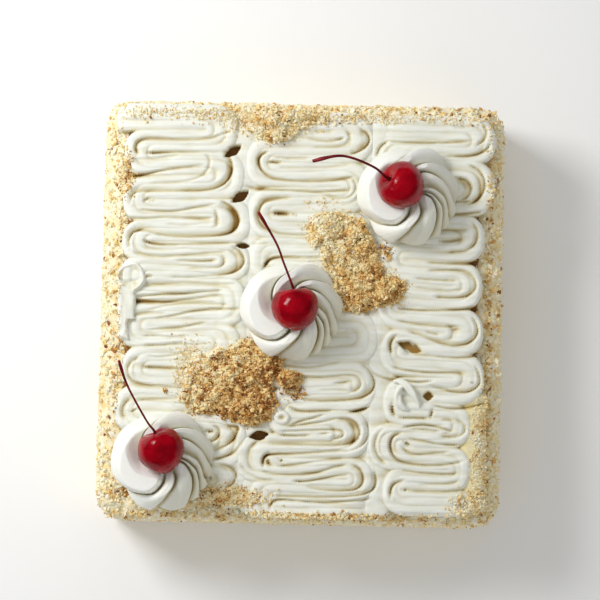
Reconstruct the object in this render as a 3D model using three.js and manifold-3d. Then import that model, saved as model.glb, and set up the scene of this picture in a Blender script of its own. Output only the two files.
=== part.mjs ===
// A square tres leches cake: a milk-soaked sponge with cake crumbs pressed on its sides, three columns
// of whipped cream piped to and fro on its top, and along one diagonal three piped rosettes, each with
// a cherry and its stem, and heaps of loose crumbs between them.
// Millimetres. +X is the cake's right, +Y its back, +Z up. The origin is on the underside, at the
// middle of the footprint.
import * as THREE from "three";
import { mergeVertices } from "three/addons/utils/BufferGeometryUtils.js";
import Module from "manifold-3d";

const wasm = await Module();
wasm.setup();

// Driving dimensions.
const CAKE_WIDTH = 206; // over the crumbs, left to right
const CAKE_LENGTH = 216; // over the crumbs, front to back
const SPONGE_HEIGHT = 50;
const CORNER_RADIUS = 16; // of the footprint, over the crumbs
const CRUMB_THICKNESS = 3; // on the sides
const CRUMB_BUMP = 0.9; // how far the crumbed side swells in and out
const CRUMB_SHOULDER = 7; // rounding of the crumbed top edge
const SPONGE_SHOULDER = 10; // rounding of the sponge's own top edge, filled out by crumbs
const CREAM_HEIGHT = 9; // of a piped line above the sponge
const RIDGES = 3; // along a piped line, left by the nozzle's teeth
const GROOVE_SHARE = 0.68; // height of the grooves between them, as a share of CREAM_HEIGHT
const SIDE_RIDGE_SHARE = 0.9; // height of the outer ridges, likewise
const ROSETTE_RADIUS = 25;
const ROSETTE_HEIGHT = 19;
const ROSETTE_PETALS = 10;
const ROSETTE_GROOVE_SHARE = 0.8; // radius of the grooves between them, as a share of ROSETTE_RADIUS
const ROSETTE_WINDING = 1.2; // radians that the petals turn through as they rise
const ROSETTE_SHIFT = 7; // how far the swirl's middle lies from the rosette's
const CHERRY_RADIUS = 11.3;
const CHERRY_FLATNESS = 0.95; // height along the stem's axis, as a share of the width
const CHERRY_DIMPLE = 2.4; // depth of the hollow that the stem grows from
const CHERRY_SINK = 8.5; // how far the cherry's lowest point lies below the rosette's top
const STEM_RADIUS = 1.0;
const STEM_STRAIGHT = 9; // length that goes straight out of the dimple before the stem bends
const CURL_HALF_WIDTH = 3.4;
const CURL_HEIGHT = 5.5;
const HEAP_HEIGHT = 8;
const GAP = 0.3; // kept between pieces that touch

const CREAM_TOP = SPONGE_HEIGHT + CREAM_HEIGHT;

// Each column is piped from the back to the front. turn is the middle of its first right-hand turn,
// pitch the distance between neighbouring lines, and the reaches say how far each turn comes.
const COLUMNS = [
  {
    name: "cream_left",
    turn: 88,
    pitch: 10.8,
    rights: [-33, -30, -27.5, -27.5, -28, -28, -28, -28, -28],
    lefts: [-88, -86, -91, -91.5, -89, -88, -91, -91, -88, -88],
  },
  {
    name: "cream_middle",
    turn: 87,
    pitch: 11.9,
    rights: [34, 30, 33, 35, 36.5, 36.5, 34, 36, 34],
    lefts: [-24, -25, -24.5, -24.5, -25, -25, -24.5, -26, -24],
  },
  {
    name: "cream_right",
    turn: 88,
    pitch: 11.9,
    rights: [93, 95, 89, 90.5, 89.5, 90, 84, 83, 86],
    lefts: [38, 38, 39, 38.5, 40, 39.5, 40, 38, 40],
  },
];

// The three rosettes, from the back to the front: the middle of each, where its cherry sits, how far
// the cherry leans and to which side, and the stem's route from the cherry's dimple.
const ROSETTES = [
  {
    place: "back",
    middle: [52, 58.5],
    towardsApex: -10,
    cherry: [48, 60.7],
    lean: 62,
    towards: 156,
    stem: [[18, 71.5, 105], [3.7, 68.9, 102]],
  },
  {
    place: "middle",
    middle: [-5, -0.5],
    towardsApex: -15,
    cherry: [-3.3, -0.9],
    lean: 84,
    towards: 97,
    stem: [[-12.1, 28.4, 91], [-22.2, 44.4, 97]],
  },
  {
    place: "front",
    middle: [-67, -76.5],
    towardsApex: 25,
    cherry: [-67, -72.1],
    lean: 80,
    towards: 107,
    stem: [[-80.3, -46.7, 96], [-87.3, -30.2, 102]],
  },
];

// Heaps of loose crumbs on the cream: middle, half width, half length and turn.
const HEAPS = [
  { name: "crumb_heap_back", middle: [24.5, 28.5], half: [18, 27.5], turned: 0.5 },
  { name: "crumb_heap_front", middle: [-32.5, -38], half: [30, 20.5], turned: 0.15 },
  { name: "crumb_heap_edge", middle: [-15.5, 92], half: [12.5, 11], turned: 0 },
];

// Cream dragged flat on the left column: middle, half width and half length, height.
const SMEAR = { middle: [-85.5, 3], half: [4.6, 21], height: 3 };

const crumbMaterial = new THREE.MeshStandardMaterial({ color: 0xe9cf95, roughness: 0.95 });
const spongeMaterial = new THREE.MeshStandardMaterial({ color: 0xb98345, roughness: 0.85 });
const creamMaterial = new THREE.MeshStandardMaterial({ color: 0xf7f3e6, roughness: 0.55 });
const cherryMaterial = new THREE.MeshStandardMaterial({ color: 0xb00f1f, roughness: 0.12 });
const stemMaterial = new THREE.MeshStandardMaterial({ color: 0x6d1018, roughness: 0.4 });

const radians = THREE.MathUtils.degToRad;

// A closed geometry as a solid that can be joined and cut.
function solidOf(geometry) {
  const bare = geometry.clone();
  bare.deleteAttribute("normal");
  bare.deleteAttribute("uv");
  const merged = mergeVertices(bare, 1e-3);
  const triVerts = new Uint32Array(merged.index.array);
  const vertProperties = merged.attributes.position.array;
  return new wasm.Manifold(new wasm.Mesh({ numProp: 3, vertProperties, triVerts }));
}

function geometryOf(solid) {
  const { vertProperties, triVerts, numProp } = solid.getMesh();
  const geometry = new THREE.BufferGeometry();
  geometry.setAttribute("position", new THREE.BufferAttribute(vertProperties, numProp));
  geometry.setIndex(new THREE.BufferAttribute(triVerts, 1));
  geometry.computeVertexNormals();
  return geometry;
}

// Moves every vertex of a geometry to where place(vertex) says.
function reshape(geometry, place) {
  const spots = geometry.attributes.position;
  const spot = new THREE.Vector3();
  for (let i = 0; i < spots.count; i++) {
    spot.fromBufferAttribute(spots, i);
    place(spot);
    spots.setXYZ(i, spot.x, spot.y, spot.z);
  }
  geometry.computeVertexNormals();
  return geometry;
}

// A straight extrusion with one step for each level, whose sections are then scaled, turned and raised.
function stack(shape, levels) {
  const steps = levels.length - 1;
  const straight = new THREE.ExtrudeGeometry(shape, { depth: steps, steps, bevelEnabled: false });
  const upright = new THREE.Vector3(0, 0, 1);
  return reshape(straight, (spot) => {
    const level = levels[Math.round(spot.z)];
    spot.set(spot.x * level.scale, spot.y * level.scale, level.height);
    spot.applyAxisAngle(upright, level.turned);
    spot.x += level.shift;
  });
}

function starShape(teeth, radius, grooveShare) {
  const corners = Array.from({ length: 2 * teeth }, (_, i) => {
    const reach = i % 2 ? radius * grooveShare : radius;
    const angle = (i * Math.PI) / teeth;
    return new THREE.Vector2(reach * Math.cos(angle), reach * Math.sin(angle));
  });
  return new THREE.Shape(corners);
}

function blockShape(width, length, corner) {
  const outline = new THREE.Shape();
  const [x, y] = [width / 2 - corner, length / 2 - corner];
  const middles = [[x, -y], [x, y], [-x, y], [-x, -y]];
  middles.forEach((middle, i) => {
    const start = ((i - 1) * Math.PI) / 2;
    outline.absarc(...middle, corner, start, start + Math.PI / 2);
  });
  outline.closePath();
  return outline;
}

// The same outline with an edge that swells in and out by up to bump.
function swollenShape(outline, bump) {
  const spacing = 12;
  const [broadWaves, fineWaves] = [28, 44]; // round the outline
  const count = Math.round(outline.getLength() / spacing);
  const points = outline.getSpacedPoints(count).slice(0, count);
  for (const point of points) {
    const angle = point.angle();
    const swell = (bump / 2) * (Math.cos(broadWaves * angle) + Math.cos(fineWaves * angle) - 2);
    point.multiplyScalar(1 + swell / point.length());
  }
  return new THREE.Shape(points);
}

// An upright block with a flat underside at z = 0 and a rounded shoulder up to z = height.
function shoulderedBlock(shape, height, shoulder, segments) {
  const bevelled = new THREE.ExtrudeGeometry(shape, {
    depth: height - shoulder,
    steps: 1,
    bevelThickness: shoulder,
    bevelSize: shoulder,
    bevelOffset: -shoulder,
    bevelSegments: segments,
    curveSegments: 5,
  });
  const under = new THREE.BoxGeometry(2 * CAKE_WIDTH, 2 * CAKE_LENGTH, 4 * shoulder);
  under.translate(0, 0, -2 * shoulder);
  return solidOf(bevelled).subtract(solidOf(under));
}

const spongeInset = 2 * (CRUMB_THICKNESS + CRUMB_BUMP);

function spongeBlock(growth) {
  const width = CAKE_WIDTH - spongeInset + 2 * growth;
  const length = CAKE_LENGTH - spongeInset + 2 * growth;
  const corner = CORNER_RADIUS - spongeInset / 2 + growth;
  return shoulderedBlock(blockShape(width, length, corner), SPONGE_HEIGHT, SPONGE_SHOULDER, 3);
}

// The crumbs: a coat round the sides that fills out the sponge's rounded shoulder, flush with its top.
function crumbCoat() {
  const shape = swollenShape(blockShape(CAKE_WIDTH, CAKE_LENGTH, CORNER_RADIUS), CRUMB_BUMP);
  const block = shoulderedBlock(shape, SPONGE_HEIGHT, CRUMB_SHOULDER, 2);
  const overlap = 1; // above and below, so that the cut goes right through
  const core = geometryOf(spongeBlock(GAP));
  core.scale(1, 1, (SPONGE_HEIGHT + 2 * overlap) / SPONGE_HEIGHT).translate(0, 0, -overlap);
  return block.subtract(solidOf(core));
}

// The route of a column's nozzle: straight lines, joined by half circles at alternate ends. Each stop
// has its place and the heading of the nozzle there. The last line has no turn after it.
function columnRoute({ turn, pitch, rights, lefts }) {
  const radius = pitch / 2;
  const turnSteps = 4;
  const backmost = turn + radius;
  const stops = [{ x: lefts[0], y: backmost, heading: 0 }];
  for (let line = 0; line < rights.length + lefts.length - 1; line++) {
    const toRight = line % 2 === 0;
    const reach = toRight ? rights[line / 2] : lefts[(line + 1) / 2];
    const side = toRight ? 1 : -1;
    const turnX = reach - side * pitch;
    const turnY = backmost - line * pitch - radius;
    for (let i = 0; i <= turnSteps; i++) {
      const swept = (i * Math.PI) / turnSteps;
      stops.push({
        x: turnX + side * radius * Math.sin(swept),
        y: turnY + radius * Math.cos(swept),
        heading: toRight ? -swept : swept - Math.PI,
      });
    }
  }
  return stops.slice(0, -turnSteps);
}

// A piped line's section: flat underneath, with the nozzle's ridges and grooves on top.
function ridgedShape(halfWidth, height) {
  const outline = new THREE.Shape().moveTo(-halfWidth, 0);
  const outerRidge = (RIDGES - 1) / RIDGES; // how far out it lies
  for (let i = 1; i < 2 * RIDGES; i++) {
    const across = i / RIDGES - 1;
    const ridgeShare = 1 - ((1 - SIDE_RIDGE_SHARE) * Math.abs(across)) / outerRidge;
    outline.lineTo(across * halfWidth, height * (i % 2 ? ridgeShare : GROOVE_SHARE));
  }
  return outline.lineTo(halfWidth, 0);
}

// A straight extrusion of that section bent along a route, with its underside at z = 0.
function pipedLine(stops, halfWidth, height) {
  const steps = stops.length - 1;
  const shape = ridgedShape(halfWidth, height);
  const straight = new THREE.ExtrudeGeometry(shape, { depth: steps, steps, bevelEnabled: false });
  return reshape(straight, (spot) => {
    const { x, y, heading } = stops[Math.round(spot.z)];
    spot.set(x - spot.x * Math.sin(heading), y + spot.x * Math.cos(heading), spot.y);
  });
}

// A star-shaped dome whose petals wind as they rise to a middle that lies off to one side.
function rosette({ middle, towardsApex }) {
  const rings = [
    [0, 0.9],
    [0.18, 1],
    [0.4, 0.98],
    [0.62, 0.86],
    [0.84, 0.66],
    [1, 0.4],
  ];
  const levels = rings.map(([share, scale]) => ({
    height: share * ROSETTE_HEIGHT,
    scale,
    turned: ROSETTE_WINDING * share,
    shift: ROSETTE_SHIFT * share * share,
  }));
  const star = starShape(ROSETTE_PETALS, ROSETTE_RADIUS, ROSETTE_GROOVE_SHARE);
  const dome = stack(star, levels).rotateZ(radians(towardsApex));
  return dome.translate(...middle, CREAM_TOP);
}

const cherryHeight = CREAM_TOP + ROSETTE_HEIGHT - CHERRY_SINK + CHERRY_RADIUS;

// A group that stands on a cherry's middle, with its +Z along the cherry's axis, towards the stem.
function cherryFrame({ cherry, lean, towards }) {
  const frame = new THREE.Group();
  frame.position.set(...cherry, cherryHeight);
  const across = radians(towards + 90);
  const axis = new THREE.Vector3(Math.cos(across), Math.sin(across), 0);
  frame.setRotationFromAxisAngle(axis, radians(lean));
  frame.updateMatrixWorld();
  return frame;
}

// A ball, a little flat along its axis, with a dimple for the stem.
function cherryBall() {
  const ball = new THREE.SphereGeometry(CHERRY_RADIUS, 14, 10).rotateX(Math.PI / 2);
  const dimpleWidth = 0.55;
  return reshape(ball, (spot) => {
    const across = Math.hypot(spot.x, spot.y) / CHERRY_RADIUS;
    const dip = spot.z > 0 ? Math.max(0, 1 - across / dimpleWidth) : 0;
    spot.z = CHERRY_FLATNESS * spot.z - CHERRY_DIMPLE * dip;
  });
}

function stemBar(frame, beyond) {
  const dimpleBottom = CHERRY_FLATNESS * CHERRY_RADIUS - CHERRY_DIMPLE + GAP;
  const start = frame.localToWorld(new THREE.Vector3(0, 0, dimpleBottom));
  const out = frame.localToWorld(new THREE.Vector3(0, 0, dimpleBottom + STEM_STRAIGHT));
  const ends = beyond.map((point) => new THREE.Vector3(...point));
  const route = new THREE.CatmullRomCurve3([start, out, ...ends]);
  const sides = 6;
  const corners = Array.from({ length: sides }, (_, i) => {
    const angle = (2 * Math.PI * i) / sides;
    return new THREE.Vector2(STEM_RADIUS * Math.cos(angle), STEM_RADIUS * Math.sin(angle));
  });
  return new THREE.ExtrudeGeometry(new THREE.Shape(corners), { steps: 9, extrudePath: route });
}

// A low mound with an uneven outline and a flat underside at z = 0.
function mound(halfWidth, halfLength, height, turned) {
  const count = 22;
  const outline = Array.from({ length: count }, (_, i) => {
    const angle = (2 * Math.PI * i) / count;
    const lump = 0.9 + 0.07 * Math.sin(3 * angle + turned * 9) + 0.05 * Math.sin(7 * angle);
    return new THREE.Vector2(halfWidth * lump * Math.cos(angle), halfLength * lump * Math.sin(angle));
  });
  const rings = [
    [0, 1],
    [0.35, 0.94],
    [0.72, 0.7],
    [0.94, 0.4],
    [1, 0.16],
  ];
  const levels = rings.map(([share, scale]) => ({ height: share * height, scale, turned, shift: 0 }));
  return stack(new THREE.Shape(outline), levels);
}

// Where the cream touched something and was pulled into a short curl on top of the right column.
function creamCurl() {
  const stops = [
    [46, -38],
    [52, -37.5],
    [58, -41],
    [62.5, -46.5],
  ].map(([x, y], i, all) => {
    const [toX, toY] = all[Math.min(i + 1, all.length - 1)];
    const [fromX, fromY] = all[Math.max(i - 1, 0)];
    return { x, y, heading: Math.atan2(toY - fromY, toX - fromX) };
  });
  return pipedLine(stops, CURL_HALF_WIDTH, CURL_HEIGHT).translate(0, 0, CREAM_TOP);
}

// Where the cream was pressed flat and dragged along the left column's ends.
function creamSmear() {
  const { middle, half, height } = SMEAR;
  return mound(...half, height, 0).translate(...middle, CREAM_TOP);
}

const cake = new THREE.Group();

function addPiece(name, geometry, material) {
  const mesh = new THREE.Mesh(geometry, material);
  mesh.name = name;
  cake.add(mesh);
  return mesh;
}

addPiece("sponge", geometryOf(spongeBlock(0)), spongeMaterial);
addPiece("crumb_coat", geometryOf(crumbCoat()), crumbMaterial);

for (const column of COLUMNS) {
  const line = pipedLine(columnRoute(column), column.pitch / 2 - GAP, CREAM_HEIGHT);
  addPiece(column.name, line.translate(0, 0, SPONGE_HEIGHT), creamMaterial);
}
addPiece("cream_curl", creamCurl(), creamMaterial);
addPiece("cream_smear", creamSmear(), creamMaterial);

for (const spot of ROSETTES) {
  const frame = cherryFrame(spot);
  const seat = new THREE.SphereGeometry(CHERRY_RADIUS + GAP, 20, 14);
  seat.translate(...frame.position.toArray());
  const swirl = solidOf(rosette(spot)).subtract(solidOf(seat));
  addPiece(`rosette_${spot.place}`, geometryOf(swirl), creamMaterial);
  const cherry = cherryBall().applyMatrix4(frame.matrixWorld);
  addPiece(`cherry_${spot.place}`, cherry, cherryMaterial);
  addPiece(`stem_${spot.place}`, stemBar(frame, spot.stem), stemMaterial);
}

for (const { name, middle, half, turned } of HEAPS) {
  const heap = mound(...half, HEAP_HEIGHT, turned).translate(...middle, CREAM_TOP);
  addPiece(name, heap, crumbMaterial);
}

// The footprint's middle goes to the origin.
const footprint = new THREE.Box3().setFromObject(cake).getCenter(new THREE.Vector3());
cake.position.set(-footprint.x, -footprint.y, 0);

export default cake;
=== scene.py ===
"""Tres leches cake: soaked sponge, crumb coat, columns of piped cream, rosettes, cherries and crumb heaps."""

import math

import bmesh
import bpy
import numpy as np
from bpy.props import FloatProperty, FloatVectorProperty, IntProperty, PointerProperty
from bpy.types import Operator, Panel, PropertyGroup
from mathutils import Matrix, Vector, noise


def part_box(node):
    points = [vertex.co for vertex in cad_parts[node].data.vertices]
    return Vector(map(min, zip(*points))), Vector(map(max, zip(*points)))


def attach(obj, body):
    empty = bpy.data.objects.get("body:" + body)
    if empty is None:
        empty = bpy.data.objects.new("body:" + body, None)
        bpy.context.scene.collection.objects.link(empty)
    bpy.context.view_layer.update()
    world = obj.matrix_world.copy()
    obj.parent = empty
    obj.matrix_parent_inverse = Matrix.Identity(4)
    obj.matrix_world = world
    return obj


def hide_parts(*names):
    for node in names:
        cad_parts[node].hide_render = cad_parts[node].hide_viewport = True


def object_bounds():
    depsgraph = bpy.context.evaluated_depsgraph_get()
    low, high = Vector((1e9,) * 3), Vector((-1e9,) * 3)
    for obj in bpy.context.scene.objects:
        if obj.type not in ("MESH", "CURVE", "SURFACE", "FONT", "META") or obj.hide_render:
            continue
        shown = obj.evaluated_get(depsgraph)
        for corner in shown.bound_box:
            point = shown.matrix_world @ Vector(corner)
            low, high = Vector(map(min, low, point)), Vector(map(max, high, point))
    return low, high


bl_info = {
    "name": "Tres leches cake",
    "version": (1, 0, 0),
    "blender": (4, 5, 0),
    "location": "3D View > Sidebar > Cake",
    "description": "Builds the looks of a square tres leches cake around its packed model",
    "category": "Add Mesh",
}

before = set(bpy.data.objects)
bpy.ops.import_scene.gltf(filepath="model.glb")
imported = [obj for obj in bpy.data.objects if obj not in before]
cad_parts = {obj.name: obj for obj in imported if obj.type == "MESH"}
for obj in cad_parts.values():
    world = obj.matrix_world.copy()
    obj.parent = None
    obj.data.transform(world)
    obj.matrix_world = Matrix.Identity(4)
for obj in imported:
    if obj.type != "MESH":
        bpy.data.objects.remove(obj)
CAD_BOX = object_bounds()

# Lengths below are in millimetres until a mesh is written.
MM = 0.001
SPONGE_TOP = 50.0
CREAM_TOP = 59.0
BODY_TOP = 57.7  # of the line's flat body, which its ridges stand on
FILL_TOP = 57.5  # of the low cream beside the lines
FOOT = 49.9  # where the cream's skirts end, just inside the sponge
GRID = (0.56, 0.4)  # spacing of the piped cream's mesh, across and along
CRUMB_GRID = (0.6, 0.6)
LINE_GAP = 12.0  # how far apart a line's turns usually lie

# The crumb coat: inset of its face from the outermost crumb, how far in and up its rounded shoulder goes from
# the top of the side, and the footprint's corner radius.
COAT_FACE = 1.7
SIDE_TOP = 42.6
SHOULDER_RUN, SHOULDER_RISE = 9.5, 7.6
CORNER = 16.0
COAT_SIDES = 700  # vertices round the coat
CRUMB_SHAPES = 8
CRUMB_REACH = 1.95  # how far a crumb's tips reach at most, in its sizes

# The turns of each piped line from the back to the front, on the right and the left in alternation: x of the
# outer end, y of the middle, and how far in from that end the middle ridge and the inner ridge's hairpin
# begin.
TURNS = {
    "cream_left": [
        (-33.7, 90, 6, 12), (-91, 78, 6, 11.5), (-29.7, 67, 7, 14.5), (-91, 54.5, 5.5, 10.5),
        (-25.7, 44, 10.5, 16.5), (-91, 33, 7, 11.5), (-26.2, 23.5, 7.5, 13), (-91.5, 15, 6, 11),
        (-26.7, 3, 6, 12), (-91.5, -9.5, 6, 11), (-30.2, -18, 6, 12), (-89, -31, 6, 10),
        (-26.7, -42, 6, 12), (-92.5, -51.5, 6, 9.5), (-25.2, -66, 7, 14), (-89, -78, 6, 12),
        (-29.2, -85.5, 4.5, 10),
    ],
    "cream_middle": [
        (34.7, 87, 5, 11.5), (-30.3, 74, 6, 11.5), (34.2, 62.5, 6.5, 11), (-28.3, 48.5, 6, 10.5),
        (35.7, 37, 6, 12), (-26.8, 24.5, 5, 8.5), (37.2, 12.5, 6, 12), (-26.8, -0.5, 6, 12),
        (39.2, -13, 4.5, 10.5), (-20.3, -26.5, 6, 12), (38.7, -37.5, 5, 12), (-16.8, -50.5, 5, 9),
        (35.2, -61.5, 9, 17), (-31.8, -74, 7.5, 15.5), (38.2, -84, 5.5, 9.5), (-24.8, -94.5, 6, 10),
    ],
    "cream_right": [
        (96, 87.5, 5.5, 12), (34, 77, 7, 11), (96, 63.5, 9, 15), (36.5, 49.5, 6, 12),
        (91.5, 38, 4.5, 12), (37.5, 27, 6, 10), (90.5, 14, 6, 10), (37.5, 3.5, 4, 7),
        (91, -9.5, 4.5, 15), (39, -19.5, 5.5, 8.5), (92, -32.5, 3, 11), (41, -45, 4, 8),
        (86, -56, 4, 9.5), (34.5, -67, 6, 13), (86, -78, 4, 7), (41.5, -88.5, 4.5, 7.5),
    ],
}
# x of each line's start at the back and of its end at the front.
LINE_ENDS = {
    "cream_left": (-90, -46),
    "cream_middle": (-22, 32),
    "cream_right": (40, 84),
}

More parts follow.
